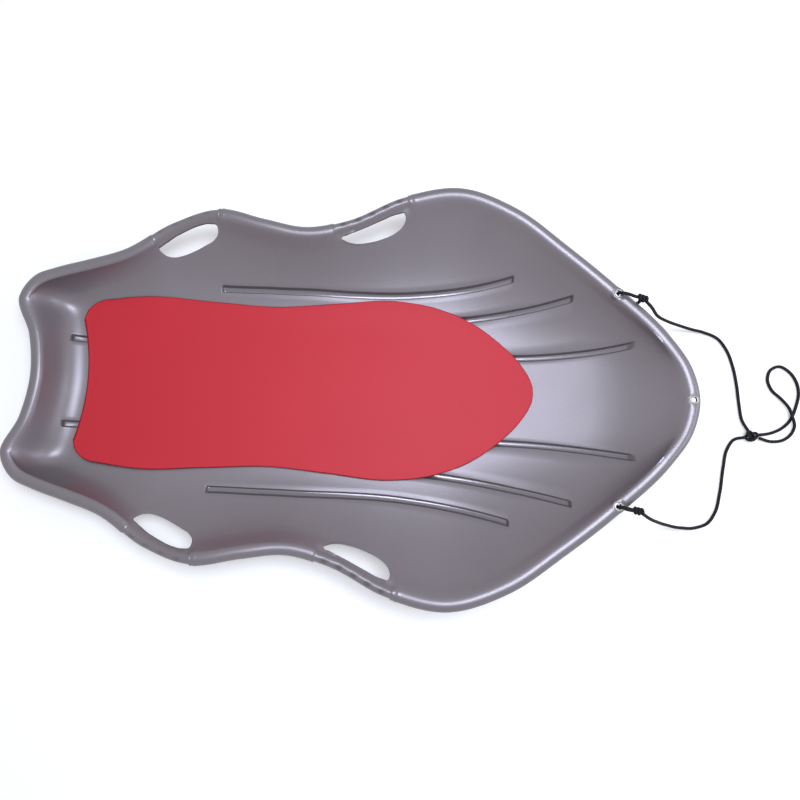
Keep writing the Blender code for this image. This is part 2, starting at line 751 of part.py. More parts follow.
def build_eyelets(parts, material):
    for word, x, y, crest in eyelet_places():
        upper, _, washer_top, foot_top = eyelet_levels(crest)
        under = upper + clearance
        top = under + eyelet_flange_thickness
        edge = eyelet_flange_thickness / 2
        foot_bottom = foot_top - eyelet_foot_thickness
        section = [(eyelet_bore_radius, top - edge),
                   (eyelet_bore_radius + edge, top),
                   (eyelet_flange_radius - edge, top),
                   (eyelet_flange_radius, top - edge),
                   (eyelet_flange_radius, under),
                   (eyelet_barrel_radius, under),
                   (eyelet_barrel_radius, foot_top),
                   (eyelet_foot_radius, foot_top),
                   (eyelet_foot_radius, foot_bottom),
                   (eyelet_bore_radius, foot_bottom)]
        turned(f"eyelet_{word}", section, (x, y), parts, material)
        hole = eyelet_barrel_radius + clearance
        ring = [(hole, washer_top), (washer_radius, washer_top),
                (washer_radius, washer_top - washer_thickness), (hole, washer_top - washer_thickness)]
        turned(f"washer_{word}", ring, (x, y), parts, material)


def build_knot(name, centre, radii, turn, parts, material):
    """A pulled-tight knot as one rounded body."""
    mesh = bpy.data.meshes.new(name)
    work = bmesh.new()
    bmesh.ops.create_uvsphere(work, u_segments=12, v_segments=8, radius=1.0)
    bmesh.ops.scale(work, vec=radii, verts=work.verts)
    work.to_mesh(mesh)
    work.free()
    knot = add_object(name, mesh, parts, material)
    knot.location = centre
    knot.rotation_euler.z = turn
    smooth(mesh, 60)
    return knot


def knot_face(centre, radii, turn, towards):
    """Where a rope that points at the knot's centre stops, a clearance off its surface."""
    line = np.subtract(towards, centre)
    line /= np.linalg.norm(line)
    cos, sin = math.cos(turn), math.sin(turn)
    local = np.array([line[0] * cos + line[1] * sin, -line[0] * sin + line[1] * cos, line[2]])
    reach = 1 / np.linalg.norm(local / np.array(radii))
    return tuple(np.array(centre) + line * (reach + knot_gap))


def rope_tube(name, route, step, parts, material):
    """A round tube along a smooth curve through the route's points, never below the ground."""
    points = open_curve(route, step)
    points[:, 2] = np.maximum(points[:, 2], rope_diameter / 2 + rope_lie_gap)
    curve = bpy.data.curves.new(name, "CURVE")
    curve.dimensions = "3D"
    curve.bevel_depth = rope_diameter / 2
    curve.bevel_resolution = 2
    curve.use_fill_caps = True
    curve.resolution_u = 1
    spline = curve.splines.new("POLY")
    spline.points.add(len(points) - 1)
    for target, point in zip(spline.points, points):
        target.co = (*point, 1.0)
    curve.materials.append(material)
    tube = bpy.data.objects.new(name, curve)
    parts.objects.link(tube)


def eye_loop_route(eye, tie):
    """The doubled rope's points, in the upright plane through the eyelet and the knot."""
    x, y, crest = eye
    run = np.array([tie[0] - x, tie[1] - y])
    return [(x + run[0] * share, y + run[1] * share, crest + height)
            for share, height in eye_loop_shape]


def build_rope(parts, material):
    places = {word: (x, y, crest) for word, x, y, crest in eyelet_places()}
    for word, offset, route in (("left", left_tie_from_eyelet, left_leg_route),
                                ("right", right_tie_from_eyelet, right_leg_route)):
        eye = places[word]
        tie = tuple(np.add(eye, offset))
        turn = math.atan2(offset[1], offset[0])
        build_knot(f"rope_tie_knot_{word}", tie, tie_knot_radii, turn, parts, material)
        loop = eye_loop_route(eye, tie)
        first = knot_face(tie, tie_knot_radii, turn, loop[0])
        last = knot_face(tie, tie_knot_radii, turn, loop[-1])
        rope_tube(f"rope_eye_loop_{word}", [first] + loop + [last], eye_loop_step, parts, material)
        start = knot_face(tie, tie_knot_radii, turn, route[0])
        end = knot_face(centre_knot_at, centre_knot_radii, 0.0, route[-1])
        rope_tube(f"rope_leg_{word}", [start] + route + [end], rope_step, parts, material)
    build_knot("rope_centre_knot", centre_knot_at, centre_knot_radii, 0.0, parts, material)
    out = knot_face(centre_knot_at, centre_knot_radii, 0.0, hand_loop_route[0])
    back = knot_face(centre_knot_at, centre_knot_radii, 0.0, hand_loop_route[-1])
    rope_tube("rope_hand_loop", [out] + hand_loop_route + [back], rope_step, parts, material)


def main():
    for thing in list(bpy.data.objects):
        bpy.data.objects.remove(thing)
    parts = new_collection("snow_boat_sled")
    cutters = new_collection("cutters")
    silver = new_material("silver_plastic", (0.33, 0.33, 0.36), 0.38, 0.35)
    red = new_material("red_foam", (0.60, 0.06, 0.09), 0.75, 0.0)
    metal = new_material("bright_metal", (0.75, 0.74, 0.72), 0.25, 1.0)
    black = new_material("black_rope", (0.02, 0.02, 0.02), 0.85, 0.0)
    build_hull(parts, cutters, silver)
    build_pad(parts, red)
    build_eyelets(parts, metal)
    build_rope(parts, black)


main()
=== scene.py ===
# %% [markdown]
# # A boat-shaped snow sled
#
# The sled is one thin moulded plastic hull with a rolled rim. A red foam pad lies on its
# floor, three metal eyelets pierce its rim, and a black rope is tied through two of them.
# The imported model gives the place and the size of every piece. This file builds the pieces
# again as fine surfaces, gives them their finishes, and sets up a camera and soft light.

import bpy
import numpy as np
from mathutils import Matrix, Vector


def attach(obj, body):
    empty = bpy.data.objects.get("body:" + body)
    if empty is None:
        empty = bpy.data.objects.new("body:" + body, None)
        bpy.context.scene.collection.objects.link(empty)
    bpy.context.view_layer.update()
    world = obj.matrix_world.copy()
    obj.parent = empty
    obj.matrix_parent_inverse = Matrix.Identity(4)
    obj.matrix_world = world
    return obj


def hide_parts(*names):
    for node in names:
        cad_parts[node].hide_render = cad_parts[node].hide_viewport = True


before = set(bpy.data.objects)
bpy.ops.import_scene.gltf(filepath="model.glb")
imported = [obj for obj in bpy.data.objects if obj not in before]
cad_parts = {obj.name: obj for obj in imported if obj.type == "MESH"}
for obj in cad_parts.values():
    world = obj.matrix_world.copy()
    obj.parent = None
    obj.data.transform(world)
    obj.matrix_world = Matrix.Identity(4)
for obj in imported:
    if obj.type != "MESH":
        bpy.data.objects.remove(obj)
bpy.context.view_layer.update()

# %% [markdown]
# ## The camera
#
# The camera looks almost straight down on the sled from a little over a metre. Its place,
# turn and focal length come from matching the hull's outline, so a lens of nearly 29 mm on a
# 36 mm sensor is set, with three small turns about X, Y and Z.

# %% Camera
focal_px, picture_px = 641.63, 800
camera_place = (0.0655, -0.1665, 1.2177)
camera_turn = np.radians((-7.535, 1.261, -2.715))

lens = bpy.data.cameras.new("camera")
lens.sensor_width = 36.0
lens.lens = lens.sensor_width * focal_px / picture_px
lens.clip_start = 0.02
camera = bpy.data.objects.new("camera", lens)
about_x, about_y, about_z = (Matrix.Rotation(*turn) for turn in zip(camera_turn, (4, 4, 4), "XYZ"))
to_camera = about_z @ about_y @ about_x
camera.matrix_world = Matrix.Translation(camera_place) @ to_camera.transposed()
bpy.context.scene.collection.objects.link(camera)
bpy.context.scene.camera = camera
print("lens, mm:", round(lens.lens, 2))

# %% [markdown]
# ## Helpers for every surface
#
# Most pieces are a grid of points worked out as one array. One helper turns arrays of
# points and faces into an object, which rides on the sled's body and stands for a node of
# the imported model. Another joins a grid's neighbours into four-sided faces, and can close
# the grid round one way, as a tube needs. Curves run smoothly through a few given points.

# %% Mesh helpers
def numbered(rows, cols):
    """The numbers of a grid's points, row by row."""
    return np.arange(rows * cols).reshape(rows, cols)


def grid_faces(index, closed=False, flip=False):
    """Quads between the neighbours in an array of point numbers. Closed joins the last
    column to the first, and flip turns the faces over."""
    if closed:
        index = np.hstack([index, index[:, :1]])
    corners = [index[:-1, :-1], index[:-1, 1:], index[1:, 1:], index[1:, :-1]]
    order = (0, 3, 2, 1) if flip else (0, 1, 2, 3)
    return np.stack([corners[k] for k in order], axis=-1).reshape(-1, 4)


def make_piece(name, node, points, faces):
    """A mesh object at the origin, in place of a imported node, from an array of points and
    one or more arrays of quads or triangles."""
    mesh = bpy.data.meshes.new(name)
    mesh.from_pydata(points.tolist(), [], sum((part.tolist() for part in faces), []),
                     shade_flat=False)
    mesh.validate()
    piece = bpy.data.objects.new(name, mesh)
    bpy.context.scene.collection.objects.link(piece)
    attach(piece, "root")
    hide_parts(node)
    return piece


def mark_points(piece, name, values):
    """Stores a number at each point, which the piece's material can read."""
    mark = piece.data.attributes.new(name, "FLOAT", "POINT")
    mark.data.foreach_set("value", np.asarray(values, dtype=float))


def smooth_curve(points, count):
    """A curve through the points, with count steps in each span.

    Each span is a cubic, start*(2t^3-3t^2+1) + slope*(t^3-2t^2+t) and so on, and the slope
    at a point is the mean of its two chords' slopes, each weighted by the other's length.
    """
    points = np.asarray(points, dtype=float)
    full = np.concatenate([[2 * points[0] - points[1]], points, [2 * points[-1] - points[-2]]])
    chord = np.linalg.norm(np.diff(full, axis=0), axis=1)
    slope = np.diff(full, axis=0) / chord[:, None]
    before, after = chord[:-1, None], chord[1:, None]
    tangent = (slope[:-1] * after + slope[1:] * before) / (before + after)
    t = np.linspace(0.0, 1.0, count, endpoint=False)[None, :, None]
    run = chord[1:-1, None, None]
    spans = ((2 * t**3 - 3 * t**2 + 1) * points[:-1, None]
             + (t**3 - 2 * t**2 + t) * run * tangent[:-1, None]
             + (3 * t**2 - 2 * t**3) * points[1:, None]
             + (t**3 - t**2) * run * tangent[1:, None])
    return np.concatenate([spans.reshape(-1, points.shape[1]), points[-1:]])


def distance_run(line):
    """How far along a line each of its points lies: the running sum of the steps."""
    return np.append(0.0, np.cumsum(np.linalg.norm(np.diff(line, axis=0), axis=1)))


def even_steps(line, step):
    """The same line with its points an even step apart."""
    run = distance_run(line)
    at = np.linspace(0.0, run[-1], max(2, int(round(run[-1] / step)) + 1))
    return np.stack([np.interp(at, run, line[:, axis]) for axis in range(line.shape[1])], -1)


def ease(share):
    """A smooth step from 0 to 1: 3t^2 - 2t^3 of the share, kept between 0 and 1."""
    share = np.clip(share, 0.0, 1.0)
    return share * share * (3 - 2 * share)


# %% [markdown]
# ## The rim's outline
#
# The rim starts at the nose, swings out to the cheeks and the shoulders, in at the waist and
# out again at the hips, and ends at the hollow tail. A few stations hold its plan and its
# height, and one smooth line runs through them. The rope and the eyelets are placed on this
# line too, so it comes first.

# %% Rim line
nose_x = 0.6080
cheek = (0.4687, 0.2035)
shoulder = (0.1850, 0.3750)
waist = (-0.0955, 0.2955)
hip = (-0.2500, 0.3180)
tail_corner = (-0.6095, 0.1440)
tail_x = -0.5750
rim_width = 0.022
rim_drop = 0.020
rim_crest_inset = 0.0125
rim_shoulder_drop = 0.0030


def between(first, last, share, bulge):
    """A point at a share of the way from first to last, moved outwards by bulge."""
    run = np.subtract(last, first)
    outwards = np.array([run[1], -run[0]]) / np.hypot(run[0], run[1])
    return tuple(np.array(first) + share * run + bulge * outwards)


nose, tail = (nose_x, 0.0), (tail_x, 0.0)
rim_stations = [
    (nose, 0.1440),
    (between(nose, cheek, 0.216, 0.0216), 0.1430),
    (between(nose, cheek, 0.499, 0.0225), 0.1410),
    (cheek, 0.1270),
    (between(cheek, shoulder, 0.339, 0.0161), 0.1220),
    (between(cheek, shoulder, 0.680, 0.0236), 0.1225),
    (shoulder, 0.1200),
    (between(shoulder, waist, 0.366, 0.0118), 0.1085),
    (between(shoulder, waist, 0.737, -0.0038), 0.0965),
    (waist, 0.0955),
    (between(waist, hip, 0.478, -0.0021), 0.1015),
    (hip, 0.1045),
    (between(hip, tail_corner, 0.231, 0.0184), 0.0865),
    (between(hip, tail_corner, 0.492, 0.0092), 0.0765),
    (between(hip, tail_corner, 0.648, 0.0170), 0.0745),
    (between(hip, tail_corner, 0.802, 0.0254), 0.0750),
    (between(hip, tail_corner, 0.893, 0.0262), 0.0760),
    (tail_corner, 0.0750),
    (between(tail_corner, tail, 0.499, -0.0072), 0.0725),
    (tail, 0.0725),
]
stations = np.array([(x, y, z) for (x, y), z in rim_stations])
across = np.array([1.0, -1.0, 1.0])
span_steps = 48
whole = smooth_curve(np.concatenate([stations[1:2] * across, stations, stations[-2:-1] * across]),
                     span_steps)
rim_line = whole[span_steps:-span_steps]
along = np.gradient(rim_line[:, :2], axis=0)
along[0], along[-1] = (0.0, 1.0), (0.0, -1.0)
rim_out = np.stack([along[:, 1], -along[:, 0]], axis=1) / np.linalg.norm(along, axis=1)[:, None]
rim_arc = distance_run(rim_line[:, :2])
eyelet_span, cheek_span, corner_span = 3, 2, 17
arc_cheek, arc_eyelet, arc_corner = (rim_arc[span_steps * span]
                                     for span in (cheek_span, eyelet_span, corner_span))
arc_tail = rim_arc[-1]


def rim_at(arc):
    """Outer edge points and outward directions, read off the rim line at given distances."""
    line = np.stack([np.interp(arc, rim_arc, rim_line[:, k]) for k in range(3)], axis=-1)
    out = np.stack([np.interp(arc, rim_arc, rim_out[:, k]) for k in range(2)], axis=-1)
    return line, out / np.linalg.norm(out, axis=-1, keepdims=True)


def rim_inset(arc, depth):
    """Points a depth inside the outer edge: edge minus depth times the outward direction."""
    line, out = rim_at(arc)
    return np.concatenate([line[..., :2] - np.asarray(depth)[..., None] * out, line[..., 2:]], -1)


def arc_at_x(x):
    """Distance along the rim where its side passes x."""
    side = slice(cheek_span * span_steps, corner_span * span_steps)
    return np.interp(-x, -rim_line[side, 0], rim_arc[side])


print("rim from nose to tail, metres:", round(float(arc_tail), 3))

# %% [markdown]
# ## The rope
#
# The rope is a black braided cord about 6 mm thick. Each end goes down through an eyelet,
# comes back under the rim and is tied to itself. Both legs fall to the ground and meet in
# one knot, and a hand loop lies beyond it. A tube is carried along each route, and its skin
# rises in small pillows where the braid's strands cross, so that it catches light as cord
# does and not as wire.

# %% Rope routes
rope_diameter = 0.006
rope_lie = rope_diameter / 2 + 0.0002
eyelet_advance = 0.011
nose_eyelet_inset = 0.0150
left_tie_from_eyelet = (0.0385, -0.0107, 0.0095)
right_tie_from_eyelet = (0.0305, -0.0058, 0.0060)
centre_knot_at = (0.7680, -0.0440, 0.0093)
left_leg_route = [
    (0.5300, 0.1680, 0.1180), (0.5560, 0.1610, 0.0850), (0.5877, 0.1602, 0.0550),
    (0.6233, 0.1596, 0.0300), (0.6532, 0.1581, 0.0140), (0.6800, 0.1556, 0.0060),
    (0.7092, 0.1450, 0.0031), (0.7263, 0.1234, 0.0031), (0.7384, 0.0906, 0.0031),
    (0.7449, 0.0555, 0.0031), (0.7490, 0.0158, 0.0031), (0.7540, -0.0160, 0.0045),
]
right_leg_route = [
    (0.5298, -0.2050, 0.1050), (0.5572, -0.2117, 0.0720), (0.5832, -0.2168, 0.0450),
    (0.6238, -0.2225, 0.0180), (0.6592, -0.2218, 0.0050), (0.6821, -0.2130, 0.0031),
    (0.6971, -0.1928, 0.0031), (0.7075, -0.1549, 0.0031), (0.7153, -0.1059, 0.0031),
    (0.7230, -0.0720, 0.0031), (0.7370, -0.0520, 0.0045),
]
hand_loop_route = [
    (0.8068, -0.0370, 0.0031), (0.8295, -0.0271, 0.0031), (0.8471, -0.0111, 0.0031),
    (0.8528, -0.0017, 0.0031), (0.8614, 0.0192, 0.0031), (0.8672, 0.0460, 0.0031),
    (0.8632, 0.0666, 0.0031), (0.8506, 0.0850, 0.0031), (0.8301, 0.0953, 0.0031),
    (0.8128, 0.0869, 0.0031), (0.8065, 0.0695, 0.0031), (0.8133, 0.0489, 0.0031),
    (0.8317, 0.0311, 0.0045), (0.8443, 0.0126, 0.0085), (0.8490, -0.0050, 0.0105),
    (0.8533, -0.0204, 0.0085), (0.8481, -0.0370, 0.0045), (0.8346, -0.0479, 0.0031),
    (0.8100, -0.0525, 0.0035),
]
# A loop through an eyelet: share of the way from it to its tie, and height above it
eye_loop_shape = [(0.58, 0.0085), (0.42, 0.0092), (0.26, 0.0085), (0.10, 0.0055),
                  (0.00, 0.0005), (0.00, -0.0070), (0.06, -0.0140), (0.24, -0.0210),
                  (0.50, -0.0245), (0.80, -0.0250), (1.02, -0.0200), (1.04, -0.0120)]

side_eyelet = rim_inset(arc_eyelet - eyelet_advance, rim_crest_inset)
nose_eyelet = rim_inset(np.array(0.0), nose_eyelet_inset)
eyelets = {"left": side_eyelet, "right": side_eyelet * across, "nose": nose_eyelet}
for side, place in eyelets.items():
    print("eyelet", side, np.round(place, 4))


# %% Braided tube
braid_strands = 4
braid_pitch = 0.0035
braid_depth = 0.12
braid_around = 48
braid_step = 0.0006


def braid_relief(turn, run):
    """How high the cord's skin stands, 0 to 1: the root of |cos(k*turn + w*run)| times
    |cos(k*turn - w*run)|, two crossing families of strands that meet in small pillows."""
    w = np.pi / braid_pitch
    one, other = (np.cos(braid_strands * turn + way * w * run) for way in (1, -1))
    return np.sqrt(np.abs(one * other))


def cord_tube(name, node, path, sideways):
    """A closed tube: centre + radius * (cos(turn) * side + sin(turn) * side x forward).

    The radius is the cord's own, less the braid's relief. Its UV map holds the turn and the
    distance run along the cord in metres. Both ends close on a point.
    """
    forward = np.gradient(path, axis=0)
    forward /= np.linalg.norm(forward, axis=1, keepdims=True)
    side = sideways - forward * (sideways * forward).sum(axis=1, keepdims=True)
    side /= np.linalg.norm(side, axis=1, keepdims=True)
    up = np.cross(side, forward)
    run = distance_run(path)
    turn = np.linspace(0.0, 2 * np.pi, braid_around, endpoint=False)
    radius = rope_diameter / 2 * (1 - braid_depth * (1 - braid_relief(turn[None], run[:, None])))
    ring = (path[:, None] + radius[..., None] * (np.cos(turn)[None, :, None] * side[:, None]
                                                 + np.sin(turn)[None, :, None] * up[:, None]))
    points = np.concatenate([ring.reshape(-1, 3), path[:1], path[-1:]])
    index = numbered(len(path), braid_around)
    start, end = np.full(braid_around, len(points) - 2), np.full(braid_around, len(points) - 1)
    caps = np.concatenate([np.stack([np.roll(index[0], -1), index[0], start], axis=1),
                           np.stack([index[-1], np.roll(index[-1], -1), end], axis=1)])
    skin = grid_faces(index, closed=True)[:, ::-1]
    piece = make_piece(name, node, points, (skin, caps))
    write_cord_uv(piece.data, run, len(path))
    return piece


def write_cord_uv(mesh, run, rings):
    """U is the turn from 0 to 1 and V the run in metres; a face across the seam ends at 1."""
    layer = mesh.uv_layers.new(name="along_the_cord")
    corner = np.empty(len(mesh.loops), dtype=np.int32)
    mesh.loops.foreach_get("vertex_index", corner)
    ring = corner // braid_around
    around = np.where(ring < rings, corner % braid_around, 0) / braid_around
    face = around[:4 * (rings - 1) * braid_around].reshape(-1, 4)
    face += (face.max(axis=1, keepdims=True) > 0.75) & (face < 0.25)
    uv = np.stack([around, run[np.minimum(ring, rings - 1)]], axis=1)
    layer.data.foreach_set("uv", uv.ravel())


# %% [markdown]
# A knot is the same cord on a tighter path. Each tie is a few turns wound round the doubled
# cord, and the knot that joins the legs is an overhand knot pulled close, whose path is a
# line that winds three times round a ring while it goes twice along it.

# %% Knots
tie_wraps = 2.4
tie_wrap_pitch = 0.0058
tie_wrap_radius = 0.0040
knot_ring_radius = 0.0070
knot_strand_radius = 0.0034
knot_squash = np.array([1.06, 0.86, 1.25])
tie_steps, knot_steps = 240, 420
upwards = np.array([0.0, 0.0, 1.0])


def wound_tie(name, node, centre, axis):
    """A helix: centre + axis * run + radius * (cos(turn) * side + sin(turn) * up)."""
    side = np.array([-axis[1], axis[0], 0.0])
    turn = np.linspace(0.0, 2 * np.pi * tie_wraps, tie_steps)[:, None]
    spoke = np.cos(turn) * side + np.sin(turn) * upwards
    run = (turn / (2 * np.pi) - tie_wraps / 2) * tie_wrap_pitch
    return cord_tube(name, node, centre + run * axis + tie_wrap_radius * spoke, spoke)


def overhand_knot(name, node, centre):
    """Twice round a ring and three times through it: the ring's radius plus the strand's
    times cos(3t), carried round by 2t, and the strand's radius times sin(3t) in height."""
    t = np.linspace(0.0, 2 * np.pi, knot_steps)[:, None]
    core = np.concatenate([np.cos(2 * t), np.sin(2 * t), 0 * t], axis=1)
    spoke = np.cos(3 * t) * core + np.sin(3 * t) * upwards
    path = (knot_ring_radius * core + knot_strand_radius * spoke) * knot_squash
    return cord_tube(name, node, centre + path, spoke)


# %% Rope pieces
route_steps, path_stride = 24, 8
# How far the cords reach into the knots: behind, below and ahead of a tie's middle, in
# metres, and the shares of the last steps to the centre knot's middle
tie_behind, tie_below, tie_ahead = 0.004, 0.004, 0.002
leg_reach, hand_reach = 0.35, 0.4


def laid_cord(name, node, line, sideways, far_end, lay, **more):
    """A cord piece along a line."""
    piece = cord_tube(name, node, line, sideways)
    return piece


def ground_cord(name, node, points, far_end, **more):
    """A cord through a route's points, kept a cord's radius above the ground. Its sideways
    direction is level and square to its own: up crossed with forward."""
    line = even_steps(smooth_curve(points, route_steps), braid_step)
    line[:, 2] = np.maximum(line[:, 2], rope_lie)
    forward = np.gradient(line, axis=0)
    sideways = np.stack([-forward[:, 1], forward[:, 0], 0 * forward[:, 0]], axis=1)
    return laid_cord(name, node, line, sideways, far_end, "loose", **more)


centre = np.array(centre_knot_at)
centre_knot = overhand_knot("centre_knot", "rope_centre_knot", centre)
cords = [centre_knot]
for side, offset, route in (("left", left_tie_from_eyelet, left_leg_route),
                            ("right", right_tie_from_eyelet, right_leg_route)):
    eye, tie = eyelets[side], eyelets[side] + offset
    away = np.array([*offset[:2], 0.0])
    towards = away / np.hypot(*offset[:2])
    knot = wound_tie(f"tie_{side}", f"rope_tie_knot_{side}", tie, towards)
    loop = [eye + share * away + height * upwards for share, height in eye_loop_shape]
    loop = [tie - tie_behind * towards] + loop + [tie - tie_below * upwards]
    loop_line = even_steps(smooth_curve(loop, route_steps), braid_step)
    loop_side = np.broadcast_to([-away[1], away[0], 0.0], loop_line.shape)
    eye_loop = laid_cord(f"eye_loop_{side}", f"rope_eye_loop_{side}", loop_line, loop_side,
                         "object", "taut")
    last = centre + leg_reach * (np.array(route[-1]) - centre)
    leg = ground_cord(f"leg_{side}", f"rope_leg_{side}",
                      [tie + tie_ahead * towards] + route + [last], "knot",
                      with_pieces=[knot] + [centre_knot] * (side == "left"))
    cords += [knot, eye_loop, leg]
first, last = (centre + hand_reach * (np.array(hand_loop_route[k]) - centre) for k in (0, -1))
cords.append(ground_cord("hand_loop", "rope_hand_loop", [first] + hand_loop_route + [last],
                         "object"))

# %% [markdown]
# ## The hull as one surface
#
# Each half of the hull is a patch spanned by four edges: the middle line, the side, the tail
# and the nose. One parameter, u, runs from tail to nose and the other, v, from the middle
# line out to the rim. The height starts from the floor, and each wall adds its own rise near
# its edge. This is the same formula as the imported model's, so the fine hull lies on it.

# %% Hull surface
hull_wall = 0.003
runner_depth = 0.008
floor_half_width = 0.120
floor_nose_half_width = 0.045
floor_narrows = (0.02, 0.42)
floor_share = 0.68
rocker_start_x = 0.17
rocker = 0.62
side_curve = 2.0
nose_wall_run = 0.142
nose_curve = 2.2
tail_wall_run = 0.050
tail_curve = 2.0
sole_cut = 0.0004
soft_u, soft_v = 0.015, 0.08


def floor_height(x):
    """The floor along the middle: level, then a parabola that rises to the nose."""
    level = runner_depth + hull_wall - sole_cut
    return level + rocker * np.maximum(0.0, x - rocker_start_x) ** 2


def wall_top(arc):
    """Where the wall meets the rolled rim: a rim's width inside the edge, and lower."""
    top = rim_inset(arc, np.full(np.shape(arc), rim_width))
    top[..., 2] -= rim_shoulder_drop
    return top


def above_floor(place):
    """How far places lie above the floor's own height at their x."""
    return place[..., 2] - floor_height(place[..., 0])


def hull_point(u, v):
    """The patch in plan: its edges' blend less the corners that two edges share. Its height:
    the floor, plus each wall's height times a power of the share of the way up it."""
    side = wall_top(arc_corner + (arc_cheek - arc_corner) * u)
    tail_edge = wall_top(arc_tail + (arc_corner - arc_tail) * v)
    nose_edge = wall_top(arc_cheek * v)
    corner, cheek = wall_top(arc_corner), wall_top(arc_cheek)
    tail_middle, nose_middle = wall_top(arc_tail), wall_top(np.float64(0.0))
    spine_x = (side[..., 0] + (1 - u) * (tail_middle[0] - corner[0])
               + u * (nose_middle[0] - cheek[0]))
    x = ((1 - v) * spine_x + v * side[..., 0] + (1 - u) * tail_edge[..., 0]
         + u * nose_edge[..., 0] - (1 - u) * ((1 - v) * tail_middle[0] + v * corner[0])
         - u * ((1 - v) * nose_middle[0] + v * cheek[0]))
    y = (v * side[..., 1] + (1 - u) * tail_edge[..., 1] + u * nose_edge[..., 1]
         - (1 - u) * v * corner[1] - u * v * cheek[1])
    start, end = floor_narrows
    narrow = ease((spine_x - start) / (end - start))
    half_width = floor_half_width + (floor_nose_half_width - floor_half_width) * narrow
    floor_v = np.minimum(half_width / side[..., 1], floor_share)
    side_rise = np.clip((v - floor_v) / (1 - floor_v), 0.0, 1.0) ** side_curve
    tail_rise = np.clip(1 - (spine_x - tail_middle[0]) / tail_wall_run, 0.0, 1.0) ** tail_curve
    nose_rise = np.clip(1 - (nose_middle[0] - spine_x) / nose_wall_run, 0.0, 1.0) ** nose_curve
    z = (floor_height(x) + above_floor(side) * side_rise + above_floor(tail_edge) * tail_rise
         + above_floor(nose_edge) * nose_rise - above_floor(corner) * side_rise * tail_rise
         - above_floor(cheek) * side_rise * nose_rise)
    return np.stack([x, y, z], axis=-1)


def rounded_point(u, v):
    """The patch with soft feet to its walls: the mean of nine places a little apart, with
    weights 1, 2, 1 each way. They close up to one place at the patch's own edges."""
    near_u = np.clip(np.minimum(u, 1 - u) / (2 * soft_u), 0.0, 1.0)
    near_v = np.clip(np.minimum(v, 1 - v) / (2 * soft_v), 0.0, 1.0)
    step_u, step_v = soft_u * (2 * near_u - near_u**2), soft_v * (2 * near_v - near_v**2)
    return sum((2 - abs(i)) * (2 - abs(j)) / 16 * hull_point(u + i * step_u, v + j * step_v)
               for i in (-1, 0, 1) for j in (-1, 0, 1))


def find_share(u, v, target):
    """The u and v whose surface point lies at the target in plan, by Newton's steps."""
    newton_steps, nudge = 6, 1e-5
    for _ in range(newton_steps):
        here = hull_point(u, v)[:, :2]
        by_u = (hull_point(u + nudge, v)[:, :2] - here) / nudge
        by_v = (hull_point(u, v + nudge)[:, :2] - here) / nudge
        miss = target - here
        det = by_u[:, 0] * by_v[:, 1] - by_u[:, 1] * by_v[:, 0]
        u = u + (miss[:, 0] * by_v[:, 1] - miss[:, 1] * by_v[:, 0]) / det
        v = v + (by_u[:, 0] * miss[:, 1] - by_u[:, 1] * miss[:, 0]) / det
    return u, v


print("floor at the seat, mm:", round(1000 * float(hull_point(0.4, 0.2)[2]), 1))

# %% [markdown]
# ## Grid lines where the detail is
#
# The moulded detail is small beside the hull, so the grid is close where detail lies and
# wide elsewhere. Columns gather at the hand grips, their collars, the eyelets and the
# runners' ends: a spacing is chosen along the rim, and equal steps of its running sum give
# the columns. Rows follow the edges of the six pressed runners, and gather at the rim.

# %% Grid columns
rear_grip, front_grip = (-0.382, -0.254), (-0.047, 0.088)
grip_arcs = [(arc_at_x(rear), arc_at_x(front)) for rear, front in (rear_grip, front_grip)]
runner_top_width, runner_draft = 0.0125, 0.0020
# Runner: start, end, distance from the middle, where it bends outwards, bend, soft end
runners = [(-0.531, 0.509, 0.081, 0.27, 0.362, 0.012),
           (-0.020, 0.401, 0.140, 0.00, 0.292, 0.004),
           (-0.257, 0.295, 0.1905, 0.00, 0.405, 0.003)]
hidden_start = runners[1][0]  # the middle runner starts under the pad, out of sight
# Steps between columns away from all detail, and how quickly they widen beside it
wide_step, spread = 0.0120, 0.36
fine_steps = 20000


def runner_y(runner, x):
    """Distance from the middle: straight, then bending out with the square of the run."""
    return runner[2] + runner[4] * np.maximum(0.0, x - runner[3]) ** 2


side_length = arc_corner - arc_cheek
ends = np.array([(x, runner_y(runner, x)) for runner in runners for x in runner[:2]
                 if x != hidden_start])
end_shares, _ = find_share(np.full(len(ends), 0.5), np.full(len(ends), 0.5), ends)
# Where columns are close: the place on the rim, how far to each side, and their step
close_places = [((rear + front) / 2, (rear - front) / 2 + 0.012, 0.0034)
                for rear, front in grip_arcs]
close_places += [(arc, 0.0065, 0.00125) for pair in grip_arcs for arc in pair]
close_places += [(arc_eyelet - eyelet_advance, 0.013, 0.0022)]
close_places += [(arc_corner - side_length * share, 0.003, 0.0016) for share in end_shares]
fine_arc = np.linspace(arc_cheek, arc_corner, fine_steps)
spacing = np.full_like(fine_arc, wide_step)
for arc, half_run, step in close_places:
    beside = np.maximum(0.0, np.abs(fine_arc - arc) - half_run)
    spacing = np.minimum(spacing, step + spread * beside)
steps = np.append(0.0, np.cumsum(np.diff(fine_arc) / spacing[1:]))
columns_arc = np.interp(np.linspace(0.0, steps[-1], int(steps[-1]) + 1), steps, fine_arc)
columns = ((arc_corner - columns_arc) / side_length)[::-1]
columns[0], columns[-1] = 0.0, 1.0
print("columns:", len(columns))


# %% Grid rows
halvings, past_end = 40, 0.002


